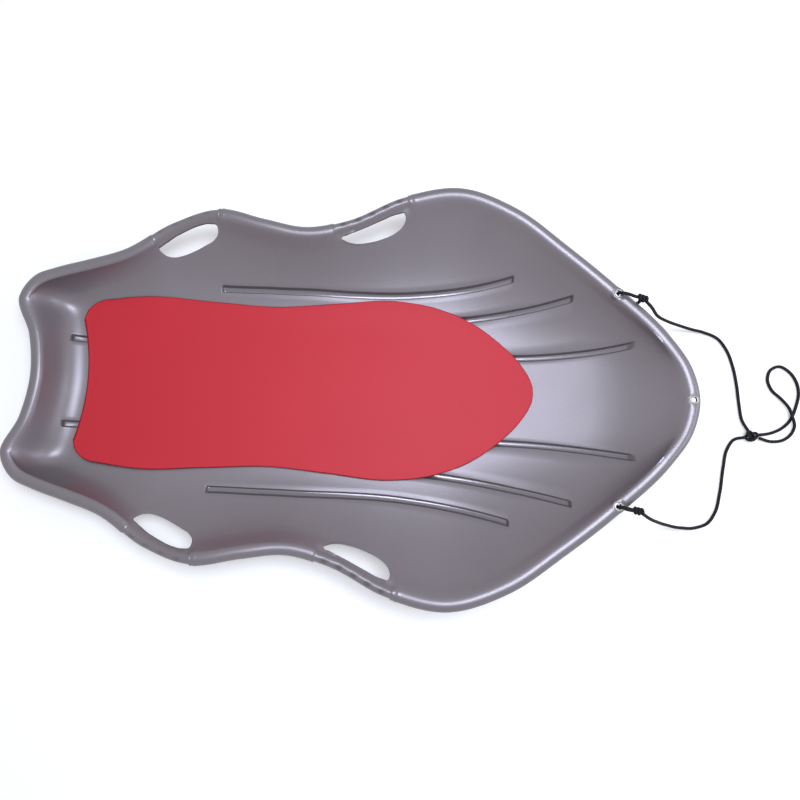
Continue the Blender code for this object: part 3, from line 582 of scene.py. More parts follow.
def edge_row(runner, offset):
    """For every column, the v at which the surface lies an offset from the runner's middle.

    The gap grows with v, so the range of v is halved again and again, all columns at once.
    Past a runner's ends the row keeps the v that it has there.
    """
    low, high = np.zeros_like(columns), np.ones_like(columns)
    for _ in range(halvings):
        v = (low + high) / 2
        point = hull_point(columns, v)
        inside = point[:, 1] < runner_y(runner, point[:, 0]) + offset
        low, high = np.where(inside, v, low), np.where(inside, high, v)
    x = hull_point(columns, v)[:, 0]
    reached = np.flatnonzero((x > runner[0] - past_end) & (x < runner[1] + past_end))
    v[:reached[0]] = v[reached[0]]
    v[reached[-1] + 1:] = v[reached[-1]]
    return v


half = runner_top_width / 2
foot = half - runner_draft
skirt = 0.0009
# Across a runner from one side to the other: offset from its middle, share of its depth
half_profile = [(half + skirt, 0.0), (half, 0.06), (half - 0.5 * runner_draft, 0.5), (foot, 0.94),
                (foot - skirt, 1.0)]
profile = [(-offset, depth) for offset, depth in half_profile] + [(0.0, 1.0)] + half_profile[::-1]
nose_rows = np.array([0.0, 0.0022, 0.0044, 0.0066, 0.0090, 0.0125, 0.0180, 0.0270, 0.0400])
nose_rows /= arc_cheek
nose_rows_within = 0.6
least_gap, least_step = 0.030, 0.0022
rows_between, rows_to_rim, rim_crowd = 4, 18, 1.3
# These rows sit close at the nose's eyelet, and keep well inside the first runner elsewhere
squeeze = np.minimum(1.0, nose_rows_within * edge_row(runners[0], profile[0][0]) / nose_rows[-1])
# Each row: its v at every column, the runner it belongs to, and its share of the depth
rows = [(share * squeeze, None, 0.0) for share in nose_rows]


def add_rows_up_to(values, count, crowd=1.0):
    """Rows that share out the way from the last row to the given one. A crowd above 1
    gathers them at the far end, as 1 - (1 - share)^crowd."""
    start = rows[-1][0]
    for step in range(1, count):
        rows.append((start + (values - start) * (1 - (1 - step / count) ** crowd), None, 0.0))


for runner in runners:
    for number, (offset, depth) in enumerate(profile):
        gap = least_step if number else least_gap
        values = np.maximum(edge_row(runner, offset), rows[-1][0] + gap)
        if number == 0:
            add_rows_up_to(values, rows_between)
        rows.append((values, runner, depth))
add_rows_up_to(np.ones_like(columns), rows_to_rim, rim_crowd)
rows.append((np.ones_like(columns), None, 0.0))
grid_v = np.array([values for values, _, _ in rows])
grid_u = np.broadcast_to(columns, grid_v.shape)
print("rows:", len(rows), "least step in v:", round(float(np.diff(grid_v, axis=0).min()), 5))

# %% Pressed pan
worn_from_x, worn_fade, worn_end_fade = -0.46, 0.08, 0.09
bottom_depth = 0.9
pan = rounded_point(grid_u, grid_v)
polished = np.zeros(grid_v.shape)
for row, (_, runner, depth) in enumerate(rows):
    if runner is None:
        continue
    x = pan[row, :, 0]
    sink = ease((x - runner[0]) / (1.5 * runner_draft)) * ease((runner[1] - x) / runner[5])
    pan[row, :, 2] -= runner_depth * depth * sink
    away_from_ends = ease((x - worn_from_x) / worn_fade) * ease((runner[1] - x) / worn_end_fade)
    polished[row] = (depth > bottom_depth) * sink * away_from_ends

# A moulded wall has no sharp edge where it meets the rim: it swells there and flattens.
# The swell is height * 27/4 * t * (1 - t)^2, which peaks at 1 a third of the way along.
swell_height, swell_run = 0.0009, 0.024
to_edge = np.minimum.reduce([np.linalg.norm((pan - edge)[..., :2], axis=-1)
                             for edge in (pan[-1:], pan[:, :1], pan[:, -1:])])
near = np.clip(to_edge / swell_run, 0.0, 1.0)
pan[..., 2] += swell_height * 27 / 4 * near * (1 - near) ** 2
print("pan:", pan.shape[:2], "deepest, mm:", round(1000 * float(pan[..., 2].min()), 2))

# %% [markdown]
# ## The rolled rim and its hand grips
#
# Outside the wall the sheet rolls over: a short rise to the crest, a quarter of an ellipse
# down the outside, and a plain skirt. Beside each slot this roll is the hand grip, a little
# slimmer, rounder on its inner side, and dimpled for the fingers. A thin raised ring marks
# each end of a grip, and the front ends carry two.

# %% Rim section
crest = rim_width - rim_crest_inset
roll_down, roll_foot = 0.0125, 0.0165
grip_slim, grip_roll, grip_fade, collar_fade = 0.0018, 0.0040, 0.014, 0.0024
ring_height, ring_half_width, ring_pair = 0.0009, 0.0014, 0.009
quarter = np.linspace(0.0, np.pi / 2, 9)
# Across the rim: how far each line of it lies outside the wall, and its height
offsets = np.concatenate([[0.25 * crest, 0.6 * crest], crest + rim_crest_inset * np.sin(quarter),
                          [rim_width, rim_width]])
heights = np.concatenate([[-0.56 * rim_shoulder_drop, -0.16 * rim_shoulder_drop],
                          roll_down * (np.cos(quarter) - 1), [-roll_foot, -rim_drop]])

v_nose, v_tail = grid_v[:, -1], grid_v[:, 0]
edge_arcs = np.concatenate([arc_cheek * v_nose,
                            (arc_corner - side_length * columns[::-1])[1:],
                            (arc_tail + (arc_corner - arc_tail) * v_tail[::-1])[1:]])


def in_grip(arc, soft):
    """1 between a grip's collars and 0 outside them, with a smooth change."""
    return sum(ease((arc - front) / soft + 0.5) * ease((rear - arc) / soft + 0.5)
               for rear, front in grip_arcs)


def collar_rings(arc):
    """A low rounded ring at each collar, and a second one beyond each grip's front end."""
    places = [place for rear, front in grip_arcs for place in (rear, front, front - ring_pair)]
    return np.maximum.reduce([np.exp(-((arc - place) / ring_half_width) ** 2) for place in places])


edge_line, edge_out = rim_at(edge_arcs)
rings, sag = collar_rings(edge_arcs), in_grip(edge_arcs, grip_fade)
outer_share = np.clip((offsets[:, None] - crest) / rim_crest_inset, 0.0, 1.0)
moved = (ring_height * rings - grip_slim * in_grip(edge_arcs, collar_fade)) * outer_share
inset = rim_width - offsets[:, None] - moved
roll = np.empty((len(offsets), len(edge_arcs), 3))
roll[..., :2] = edge_line[None, :, :2] - inset[..., None] * edge_out[None]
roll[..., 2] = (edge_line[None, :, 2] + heights[:, None] + ring_height * rings * (1 - outer_share)
                - grip_roll * sag * (1 - offsets[:, None] / crest).clip(0.0) ** 2)

# The wall beside a grip goes down with the roll, and comes back over a short way
column_grips = in_grip(arc_corner - side_length * columns, grip_fade)
from_top = np.linalg.norm((pan - pan[-1:])[..., :2], axis=-1)
pan[..., 2] -= grip_roll * column_grips * (1 - ease(from_top / grip_fade))
print("rim:", roll.shape[:2], "points")

# %% Finger dimples
dimple_long, dimple_wide, dimple_offset = 0.0080, 0.0046, 0.0136
front_dimple_depth, rear_dimple_depth = 0.0010, 0.0005
dimple_start, dimple_spare = 0.62, 0.35
dimpled = np.zeros(roll.shape[:2])
for (rear, front), count, depth in zip(grip_arcs, (4, 5), (rear_dimple_depth, front_dimple_depth)):
    for share in (np.arange(count) + dimple_start) / (count + dimple_spare):
        place = rear + (front - rear) * share
        reach = (((edge_arcs[None] - place) / dimple_long) ** 2
                 + ((offsets[:, None] - dimple_offset) / dimple_wide) ** 2)
        press = 1 - ease(reach)
        roll[..., 2] -= depth * press
        # The dimples' share is also their painted shade: it darkens their colour, and it makes them
        # duller too.
        dimpled = np.maximum(dimpled, depth / front_dimple_depth * press)
print("dimples' points:", int((dimpled > 0).sum()))

# %% Join pan and rim
index = numbered(*grid_v.shape)
edge_index = np.concatenate([index[:, -1], index[-1, ::-1][1:], index[::-1, 0][1:]])
roll[:, [0, -1], 1] = 0.0  # on the middle plane, where the other half is joined
points = np.concatenate([pan.reshape(-1, 3), roll.reshape(-1, 3)])
strips = np.concatenate([edge_index[None], numbered(*roll.shape[:2]) + index.size])
quads = np.concatenate([grid_faces(index), grid_faces(strips, flip=True)])
triangles = np.zeros((0, 3), dtype=int)
# At each point: u and v, where it lies on the patch, how polished it is, and how dull and how
# darkened by painted shade it is
off_patch, roll_shine, lip_shade_and_dullness = np.nan, 0.2, 0.6
vert_u, vert_v, shine, shade_and_dullness = (
    np.concatenate([on_pan.ravel(), np.broadcast_to(on_roll, dimpled.shape).ravel()])
    for on_pan, on_roll in ((grid_u, off_patch), (grid_v, off_patch), (polished, roll_shine),
                            (np.zeros(polished.shape), dimpled)))
print("half hull:", len(points), "points,", len(quads), "quads")

# %% [markdown]
# ## Cutting the hand slots and the eyelet holes
#
# A slot could be cut with a Boolean, but that leaves long thin faces which spoil the shine
# of so smooth a sheet. Here the points nearest a slot's outline are moved onto it, each to
# the surface's own height there, and the faces inside are taken out. The edge is then
# turned down into a short rounded lip, as on the real moulding, and the shading is split
# along it, so that the lip's slope doesn't spread over the wide faces beside it.

# %% Openings
rear_slot = [(-0.012, 0.0275), (0.110, 0.0271), (0.231, 0.0262), (0.475, 0.0243), (0.719, 0.0238),
             (0.841, 0.0248), (0.956, 0.0292), (0.950, 0.0405), (0.856, 0.0484), (0.663, 0.0534),
             (0.468, 0.0557), (0.272, 0.0551), (0.100, 0.0495), (0.011, 0.0400)]
front_slot = [(0.042, 0.0279), (0.150, 0.0261), (0.367, 0.0244), (0.585, 0.0250), (0.803, 0.0264),
              (0.906, 0.0292), (0.905, 0.0390), (0.844, 0.0465), (0.681, 0.0524), (0.510, 0.0516),
              (0.342, 0.0477), (0.179, 0.0410), (0.103, 0.0358)]
slot_steps, search_margin = 16, 0.02
# The lip's rows: how far each lies inside the opening's edge, and how far below it
lip_rows = ((0.0002, 0.0003), (0.0004, 0.0010), (0.0005, 0.0022), (0.0005, 0.0038))


def slot_outline(grip, outline):
    """A closed smooth line through points given as share of the grip and depth inside it."""
    share, depth = np.array(outline + outline[:3]).T
    corners = rim_inset(grip[0] + (grip[1] - grip[0]) * share, depth)[:, :2]
    return smooth_curve(corners, slot_steps)[slot_steps:-2 * slot_steps]


def distance_to(outline, places):
    """Distance from each place to a closed outline, below zero inside, and the nearest
    point: the place's shadow on every side of the outline, and the closest of them."""
    start, end = outline, np.roll(outline, -1, axis=0)
    side = end - start
    off = places[:, None] - start
    share = np.clip((off * side).sum(-1) / (side * side).sum(-1), 0.0, 1.0)
    near = start + share[..., None] * side
    gap = np.linalg.norm(places[:, None] - near, axis=-1)
    best = gap.argmin(axis=1)[:, None]
    x, y = places[:, :1], places[:, 1:]
    with np.errstate(divide="ignore", invalid="ignore"):
        reach = side[:, 0] * (y - start[:, 1]) / side[:, 1] + start[:, 0]
    crosses = ((start[:, 1] > y) != (end[:, 1] > y)) & (x < reach)
    inside = crosses.sum(axis=1) % 2 == 1
    return (np.where(inside, -1, 1) * np.take_along_axis(gap, best, axis=1)[:, 0],
            np.take_along_axis(near, best[..., None], axis=1)[:, 0])


def sides_of(faces):
    """The pairs of point numbers along every side of the faces."""
    return np.stack([faces, np.roll(faces, -1, axis=1)], axis=-1).reshape(-1, 2)


def side_codes(sides, count):
    """One whole number for each pair of point numbers, the same either way round."""
    return sides.min(axis=1).astype(np.int64) * count + sides.max(axis=1)


def cut_opening(points, quads, triangles, outline):
    """Moves points onto the outline and drops the faces inside it. A quad that the outline
    crosses from corner to corner keeps the triangle that lies outside."""
    low, high = outline.min(axis=0) - search_margin, outline.max(axis=0) + search_margin
    near = np.flatnonzero(((points[:, :2] > low) & (points[:, :2] < high)).all(axis=1))
    gap, foot = np.full(len(points), 1.0), points[:, :2].copy()
    gap[near], foot[near] = distance_to(outline, points[near, :2])
    sides = sides_of(quads)
    crossing = sides[(gap[sides[:, 0]] < 0) != (gap[sides[:, 1]] < 0)]
    nearer = np.where(np.abs(gap[crossing[:, 0]]) < np.abs(gap[crossing[:, 1]]),
                      crossing[:, 0], crossing[:, 1])
    snap = np.unique(nearer)
    on_pan = snap[np.isfinite(vert_u[snap])]
    u, v = find_share(vert_u[on_pan], vert_v[on_pan], foot[on_pan])
    points[on_pan, 2] += (rounded_point(u, v) - rounded_point(vert_u[on_pan], vert_v[on_pan]))[:, 2]
    points[snap, :2] = foot[snap]
    gap[snap] = 0.0
    state = np.sign(gap)[quads]
    has_in, has_out = (state < 0).any(axis=1), (state > 0).any(axis=1)
    flat = np.flatnonzero(~has_in & ~has_out)
    if len(flat):
        has_in[flat] = distance_to(outline, points[quads[flat], :2].mean(axis=1))[0] < 0
    mixed = np.flatnonzero(has_in & has_out)
    out_corner = (state[mixed] > 0).argmax(axis=1)
    picks = (out_corner[:, None] + np.array([-1, 0, 1])) % 4
    kept = np.take_along_axis(quads[mixed], picks, axis=1)
    return points, quads[~has_in], np.concatenate([triangles, kept]), snap


def leftwards(line):
    """Directions square to a closed line in plan, to the left of its own: (-dy, dx)."""
    ahead = np.roll(line, -1, axis=0) - np.roll(line, 1, axis=0)
    return np.stack([-ahead[:, 1], ahead[:, 0]], axis=1) / np.hypot(*ahead.T[:2])[:, None]


def inward_at(outline, places):
    """Directions square to a closed outline and into it, read at its nearest corner. A
    place a little to the outline's left tells which side of it is inside."""
    left, probe = leftwards(outline), 0.0001
    inward = -np.sign(distance_to(outline, outline[:1] + probe * left[:1])[0]) * left
    return inward[np.linalg.norm(places[:, None] - outline, axis=-1).argmin(axis=1)]


def add_lip(points, quads, triangles, snapped, outline):
    """Turns an opening's edge down: rows of points a little further in and lower each."""
    sides = np.concatenate([sides_of(quads), sides_of(triangles)])
    on = np.zeros(len(points), dtype=bool)
    on[snapped] = True
    sides = sides[on[sides].all(axis=1)]
    _, where, counts = np.unique(side_codes(sides, len(points)), return_index=True,
                                 return_counts=True)
    rim = sides[where[counts == 1]]
    edge, level = np.unique(rim, return_inverse=True)
    a, b = level.reshape(-1, 2).T
    inner = inward_at(outline, points[edge, :2])
    above = edge
    for reach, drop in lip_rows:
        below = len(points) + np.arange(len(edge))
        lip = np.column_stack([points[edge, :2] + reach * inner, points[edge, 2] - drop])
        points = np.concatenate([points, lip])
        quads = np.concatenate([quads, np.stack([above[b], above[a], below[a], below[b]], axis=1)])
        above = below
    return points, quads, rim


lip_sides = np.zeros((0, 2), dtype=int)
for grip, shape in zip(grip_arcs, (rear_slot, front_slot)):
    outline = slot_outline(grip, shape)
    points, quads, triangles, snapped = cut_opening(points, quads, triangles, outline)
    points, quads, rim = add_lip(points, quads, triangles, snapped, outline)
    lip_sides = np.concatenate([lip_sides, rim])
    # The lips take painted shade: a darker colour, and a duller finish too.
    vert_u, vert_v, shine, shade_and_dullness = (
        np.append(values, np.full(len(points) - len(values), new)) for values, new in
        ((vert_u, off_patch), (vert_v, off_patch), (shine, 0.0), (shade_and_dullness, lip_shade_and_dullness)))
    print("slot leaves", len(quads), "quads,", len(triangles), "triangles")

# %% Eyelet seats and holes
seat_depth = 0.0009
seat_flat, seat_fade = 0.0086, 0.0050
eyelet_hole, hole_steps = 0.0056, 48
for place in (side_eyelet, nose_eyelet):
    away = np.hypot(*(points[:, :2] - place[:2]).T)
    blend = ease((seat_flat + seat_fade - away) / seat_fade)
    points[:, 2] += blend * (place[2] - seat_depth - points[:, 2])
    turn = np.linspace(0.0, 2 * np.pi, hole_steps, endpoint=False)
    circle = place[:2] + eyelet_hole * np.stack([np.cos(turn), np.sin(turn)], axis=1)
    points, quads, triangles, snapped = cut_opening(points, quads, triangles, circle)
    print("eyelet hole at", np.round(place[:2], 3), "edge points", len(snapped))

# %% Hull piece
used = np.unique(np.concatenate([quads.ravel(), triangles.ravel()]))
renumber = np.full(len(points), -1)
renumber[used] = np.arange(len(used))
hull = make_piece("sled_hull", "hull_shell", points[used],
                  (renumber[quads], renumber[triangles]))
mark_points(hull, "polished", shine[used])
mark_points(hull, "dimpled", shade_and_dullness[used])
ends = np.empty(2 * len(hull.data.edges), dtype=np.int32)
hull.data.edges.foreach_get("vertices", ends)
split = np.isin(side_codes(ends.reshape(-1, 2), len(used)),
                side_codes(renumber[lip_sides], len(used)))
hull.data.attributes.new("sharp_edge", "BOOLEAN", "EDGE").data.foreach_set("value", split)
mirror = hull.modifiers.new("other_half", "MIRROR")
mirror.use_axis = (False, True, False)
mirror.merge_threshold = 0.00002
wall = hull.modifiers.new("wall", "SOLIDIFY")
wall.thickness = hull_wall
wall.offset = -1.0
# A quad is two triangles, and the mirror and the wall both double them
print("hull triangles:", 4 * (2 * len(quads) + len(triangles)))

# %% [markdown]
# ## The foam pad
#
# The pad is a flat sheet of closed-cell foam, cut with a pointed front and a hollow rear
# edge, and it bends with the floor it lies on. A grid over its outline gets the floor's
# height at each point, and the sheet's thickness is laid on top with rounded cut edges.

# %% Pad surface
pad_thickness, pad_lay, pad_edge_round = 0.005, 0.0010, 0.0019
pad_rear_x, pad_front_x = -0.508, 0.3385
pad_rear_half_width, pad_bulge_half_width = 0.152, 0.1605
pad_waist_half_width, pad_front_half_width = 0.150, 0.1685
pad_corner, pad_corner_stretch = 0.038, 1.3
pad_rear_hollow, pad_hollow_run = 0.0165, 0.16
pad_shift_y, pad_turn = 0.010, np.radians(0.8)
corner_turns = np.radians((0.0, 22.5, 45.0, 67.5, 90.0))
pad_step, pad_span_steps, pad_columns = 0.0045, 24, 65
# Towards the tip: how far behind it, and the share of the front's half width
tip_shape = ((0.264, 1.0), (0.184, 0.935), (0.124, 0.805), (0.064, 0.565), (0.024, 0.325),
             (0.006, 0.155), (0.0015, 0.078), (0.0, 0.0))
pad_stations = [*zip(pad_rear_x + pad_corner_stretch * pad_corner * (1 - np.cos(corner_turns)),
                     pad_rear_half_width - pad_corner * (1 - np.sin(corner_turns))),
                (pad_rear_x + 0.122, pad_bulge_half_width),
                (pad_rear_x + 0.241, (pad_bulge_half_width + pad_waist_half_width) / 2),
                (pad_rear_x + 0.360, pad_waist_half_width),
                ((pad_rear_x + pad_front_x + 0.096) / 2,
                 (pad_waist_half_width + pad_front_half_width) / 2),
                *((pad_front_x - behind, share * pad_front_half_width)
                  for behind, share in tip_shape)]


def floor_under(x, y):
    """The hull's own height below each place, before its runners are pressed in."""
    # A first guess: u from the line halfway out, and v as the share of the way to the side
    shares = np.linspace(0.0, 1.0, 400)
    u = np.interp(x, hull_point(shares, np.full_like(shares, 0.5))[:, 0], shares)
    side_y = wall_top(arc_corner + (arc_cheek - arc_corner) * u)[:, 1]
    v = np.clip(np.abs(y) / side_y, 0.02, 0.97)
    u, v = find_share(u, v, np.stack([x, np.abs(y)], axis=-1))
    return rounded_point(u, np.clip(v, 0.0, 1.0))[:, 2]


pad_line = even_steps(smooth_curve(pad_stations, pad_span_steps), pad_step)
across_pad = np.sin(np.linspace(-np.pi / 2, np.pi / 2, pad_columns))
fade = np.clip(1 - (pad_line[:, 0] - pad_rear_x) / pad_hollow_run, 0.0, 1.0) ** 3
flat_x = pad_line[:, :1] + pad_rear_hollow * fade[:, None] * (1 - across_pad**2)
flat_y = pad_line[:, 1:] * across_pad
plan_x = flat_x * np.cos(pad_turn) - flat_y * np.sin(pad_turn)
plan_y = pad_shift_y + flat_x * np.sin(pad_turn) + flat_y * np.cos(pad_turn)
height = floor_under(plan_x.ravel(), plan_y.ravel()).reshape(plan_x.shape) + pad_lay
under = np.stack([plan_x, plan_y, height], axis=-1)
print("pad grid:", under.shape[:2], "height from", round(float(height.min()), 4),
      "to", round(float(height.max()), 4))

# %% Pad piece
# The border runs once round the sheet: the rear edge, one long side to the tip, and back
sheet = numbered(*height.shape)
border = np.concatenate([sheet[0], sheet[1:-1, -1], sheet[-1, :1], sheet[-2:0:-1, 0]])
tip = sheet[-1, 0]
sheet[-1, :] = tip
faces = grid_faces(sheet, flip=True)
at_tip = (faces == tip).sum(axis=1)
inner_quads, tip_fans = faces[at_tip == 0], faces[at_tip == 2][:, [0, 1, 3]]
flat_points = under.reshape(-1, 3)
count = len(flat_points)
edge_points = flat_points[border]
edge_inwards = np.pad(leftwards(edge_points), ((0, 0), (0, 1)))
# Foot, lower and upper roundings of the cut edge: distance inwards and height
edge_section = [(0.0004, 0.0), (0.0, 0.0006), (0.0, pad_thickness - pad_edge_round),
                (0.3 * pad_edge_round, pad_thickness - 0.3 * pad_edge_round),
                (pad_edge_round, pad_thickness)]
rings = [edge_points + reach * edge_inwards + (0, 0, lift) for reach, lift in edge_section]
bottom_points, top_points = flat_points.copy(), flat_points + (0, 0, pad_thickness)
bottom_points[border], top_points[border] = rings[0], rings[-1]
pad_points = np.concatenate([bottom_points, top_points, *rings[1:-1]])
levels = np.stack([border, *(numbered(len(rings) - 2, len(border)) + 2 * count), border + count])
pad = make_piece("foam_pad", "seat_pad", pad_points,
                 (inner_quads[:, ::-1] + count, inner_quads, grid_faces(levels, closed=True),
                  tip_fans[:, ::-1] + count, tip_fans))
mark_points(pad, "cut_edge", np.arange(len(pad_points)) >= 2 * count)
print("pad triangles:", sum(len(p.vertices) - 2 for p in pad.data.polygons))

# %% [markdown]
# ## Eyelets and washers
#
# An eyelet is a short metal tube whose upper end is rolled over into a flange, pushed
# through the rim, and clinched over a washer below. It is turned round, so one section of
# radius and height is swept through a full circle.

# %% Turned pieces
bore, barrel, flange = 0.0047, 0.0053, 0.0075
flange_thickness, foot_radius, foot_thickness = 0.0012, 0.0066, 0.0008
washer_radius, washer_thickness, clearance = 0.0068, 0.0008, 0.0003
blunt, foot_blunt = 0.0002, 0.0003
inner_roll = 1.1
turn_steps = 72


def turned(name, node, section, centre):
    """A closed section swept round: radius * cos(turn), radius * sin(turn), and height."""
    radius, height = np.array(section[::-1]).T
    turn = np.linspace(0.0, 2 * np.pi, turn_steps, endpoint=False)
    rings = np.stack([np.outer(radius, np.cos(turn)) + centre[0],
                      np.outer(radius, np.sin(turn)) + centre[1],
                      np.repeat(height[:, None], turn_steps, axis=1)], axis=-1)
    index = numbered(*rings.shape[:2])
    skin = grid_faces(np.vstack([index, index[:1]]), closed=True)
    piece = make_piece(name, node, rings.reshape(-1, 3), [skin])
    # The points inside the bore, which the metal paints dark as painted shade.
    mark_points(piece, "bore", np.repeat(radius < bore + blunt, turn_steps))
    return piece


def rounded(centre, radius, start, end, count=7):
    """Points of an arc in the section, from one angle to another, in degrees."""
    angle = np.radians(np.linspace(start, end, count))
    return [(centre[0] + radius * np.cos(a), centre[1] + radius * np.sin(a)) for a in angle]


turned_pieces = []
for side, (x, y, top) in eyelets.items():
    seat = top - seat_depth + clearance
    lip = flange_thickness / 2
    washer_top = top - hull_wall - 2 * clearance
    bottom = washer_top - washer_thickness
    foot_top = bottom - clearance
    foot_low = foot_top - foot_thickness
    inner_corner = (bore + inner_roll * lip, seat + lip - (inner_roll - 1) * lip)
    section = [(bore, foot_low), (bore, seat - lip),
               *rounded(inner_corner, inner_roll * lip, 180, 90),
               *rounded((flange - lip, seat + lip), lip, 90, -90),
               (barrel, seat), (barrel, foot_top),
               (foot_radius - blunt, foot_top), (foot_radius, foot_top - blunt),
               (foot_radius, foot_low + foot_blunt), (foot_radius - foot_blunt, foot_low)]
    hole = barrel + clearance
    ring = [(hole, bottom), (hole, washer_top), (washer_radius - blunt, washer_top),
            (washer_radius, washer_top - blunt), (washer_radius, bottom + blunt),
            (washer_radius - blunt, bottom)]
    turned_pieces += [turned(f"eyelet_ring_{side}", f"eyelet_{side}", section, (x, y)),
                      turned(f"washer_ring_{side}", f"washer_{side}", ring, (x, y))]
print("turned pieces:", len(turned_pieces))

# %% [markdown]
# ## Finishes
#
# Two effects are shared, so each is one node group. The first makes a fine grain, as on
# moulded plastic, foam and plated metal, and gives a height for a bump and a mask. The
# second marks handling wear: soft cloudy patches that change colour and roughness a little.
# Small helpers add a node, link it to others and give back its output.

# %% Node helpers
def fill(tree, node, inputs):
    """Gives a node's inputs their values, or links them to other nodes' outputs."""
    for name, value in inputs.items():
        if isinstance(value, bpy.types.NodeSocket):
            tree.links.new(value, node.inputs[name])
        else:
            node.inputs[name].default_value = value


def add_node(tree, kind, output, inputs, **settings):
    """A new node with its settings and its inputs; gives back one output."""
    node = tree.nodes.new("ShaderNode" + kind)
    for name, value in settings.items():
        setattr(node, name, value)
    fill(tree, node, inputs)
    return node.outputs[output]


def noise_in(tree, source, scale, detail, roughness=0.55):
    """A noise texture over the given coordinates."""
    return add_node(tree, "TexNoise", "Fac", {"Vector": source, "Scale": scale,
                                              "Detail": detail, "Roughness": roughness})


def remap(tree, value, low, high, to_low, to_high):
    """A Map Range node that stays within its ends."""
    return add_node(tree, "MapRange", "Result", {
        "Value": value, "From Min": low, "From Max": high, "To Min": to_low, "To Max": to_high})


def mix_colours(tree, share, first, second):
    """A mix by a share of two colours, each given as numbers or as a node's output."""
    first, second = ((*c, 1.0) if isinstance(c, tuple) else c for c in (first, second))
    return add_node(tree, "Mix", 2, {"Factor": share, 6: first, 7: second}, data_type="RGBA")


def bump(tree, height, strength, distance):
    """A Bump node that turns a height into a normal."""
    return add_node(tree, "Bump", "Normal",
                    {"Height": height, "Strength": strength, "Distance": distance})


def combine(tree, operation, first, second):
    """A Math node with two inputs."""
    return add_node(tree, "Math", "Value", {0: first, 1: second}, operation=operation)


def read_mark(tree, name):
    """The number that a piece stores at its points under this name."""
    return add_node(tree, "Attribute", "Fac", {}, attribute_name=name)


def plain_rays(tree):
    """1 for what the camera or a mirror sees directly, 0 for light that falls on things."""
    rays = tree.nodes.new("ShaderNodeLightPath").outputs
    return combine(tree, "MAXIMUM", rays["Is Camera Ray"], rays["Is Glossy Ray"])


def new_material(name):
    """A node material, its tree and its Principled shader."""
    material = bpy.data.materials.new(name)
    material.use_nodes = True
    return material, material.node_tree, material.node_tree.nodes["Principled BSDF"]


# %% Shared node groups
def new_group(name, inputs, outputs):
    """A shader node group with number inputs and outputs, and its Object coordinates."""
    group = bpy.data.node_groups.new(name, "ShaderNodeTree")
    for socket, value in inputs.items():
        made = group.interface.new_socket(socket, in_out="INPUT", socket_type="NodeSocketFloat")
        made.default_value = value
    for socket in outputs:
        group.interface.new_socket(socket, in_out="OUTPUT", socket_type="NodeSocketFloat")
    place = add_node(group, "TexCoord", "Object", {})
    return (group, place, group.nodes.new("NodeGroupInput").outputs,
            group.nodes.new("NodeGroupOutput"))


def use_group(tree, group, **values):
    """Places a node group in a material with its own values; gives back its outputs."""
    node = tree.nodes.new("ShaderNodeGroup")
    node.node_tree = group
    fill(tree, node, values)
    return node.outputs


grain_group, place, entry, leave = new_group("fine_grain", {"Scale": 900.0}, ["Height", "Speck"])
fine = noise_in(grain_group, place, entry["Scale"], 3.0)
fill(grain_group, leave, {"Height": fine, "Speck": remap(grain_group, fine, 0.58, 0.72, 0.0, 1.0)})

wear_group, place, entry, leave = new_group("handling_wear", {"Scale": 6.0, "Amount": 0.5},
                                            ["Cloud"])
cloud = noise_in(wear_group, place, entry["Scale"], 4.0, 0.6)
fill(wear_group, leave, {"Cloud": remap(wear_group, cloud, 0.35, 0.70, 0.0, entry["Amount"])})
print("groups:", grain_group.name, wear_group.name)

# %% [markdown]
# The hull is silver-grey plastic with fine metal flakes in it. The flakes make it shine like
# dull metal: bright where it faces the light, and falling off quickly on its walls. So the
# shader is part metallic, with small specks in its colour, cloudy roughness and fine grain.
# Snow and shoes polish the runners' bottoms, while the finger dimples and the slots' lips are
# duller, and painted darker as painted shade. The hull's own marks say where.

# %% Silver plastic
silver, tree, shader = new_material("silver_flake_plastic")
flakes = use_group(tree, grain_group, Scale=1400.0)
cloud = use_group(tree, wear_group, Scale=5.0, Amount=0.8)["Cloud"]
shade_and_dullness_mark, bottoms = read_mark(tree, "dimpled"), read_mark(tree, "polished")
colour = mix_colours(tree, cloud, (0.196, 0.176, 0.192), (0.178, 0.161, 0.176))
colour = mix_colours(tree, flakes["Speck"], colour, (0.27, 0.26, 0.275))
# Painted shade: the finger dimples and the slots' lips are darker in colour.
colour = mix_colours(tree, shade_and_dullness_mark, colour, (0.110, 0.100, 0.110))
rough = remap(tree, cloud, 0.0, 1.0, 0.36, 0.40)
rough = remap(tree, bottoms, 0.0, 1.0, rough, 0.22)
rough = remap(tree, shade_and_dullness_mark, 0.0, 1.0, rough, 0.55)
fill(tree, shader, {"Base Color": colour, "Roughness": rough, "Metallic": 0.52, "IOR": 1.5,
                    "Normal": bump(tree, flakes["Height"], 0.12, 0.0002)})
hull.data.materials.append(silver)

# %% [markdown]
# The pad is matte red foam. Its skin is finely pitted and takes up small clouds of darker
# red, and its cut edges are paler than its top, because the cells are open there.

# %% Red foam
foam, tree, shader = new_material("red_closed_cell_foam")
pits = use_group(tree, grain_group, Scale=1100.0)
cloud = use_group(tree, wear_group, Scale=7.0, Amount=0.6)["Cloud"]
colour = mix_colours(tree, cloud, (0.520, 0.012, 0.025), (0.485, 0.011, 0.022))
colour = mix_colours(tree, pits["Speck"], colour, (0.57, 0.021, 0.037))
colour = mix_colours(tree, read_mark(tree, "cut_edge"), colour, (0.70, 0.28, 0.30))
fill(tree, shader, {"Base Color": colour, "Specular IOR Level": 0.4,
                    "Roughness": remap(tree, pits["Height"], 0.3, 0.7, 0.52, 0.60),
                    "Normal": bump(tree, pits["Height"], 0.35, 0.0004)})
pad.data.materials.append(foam)
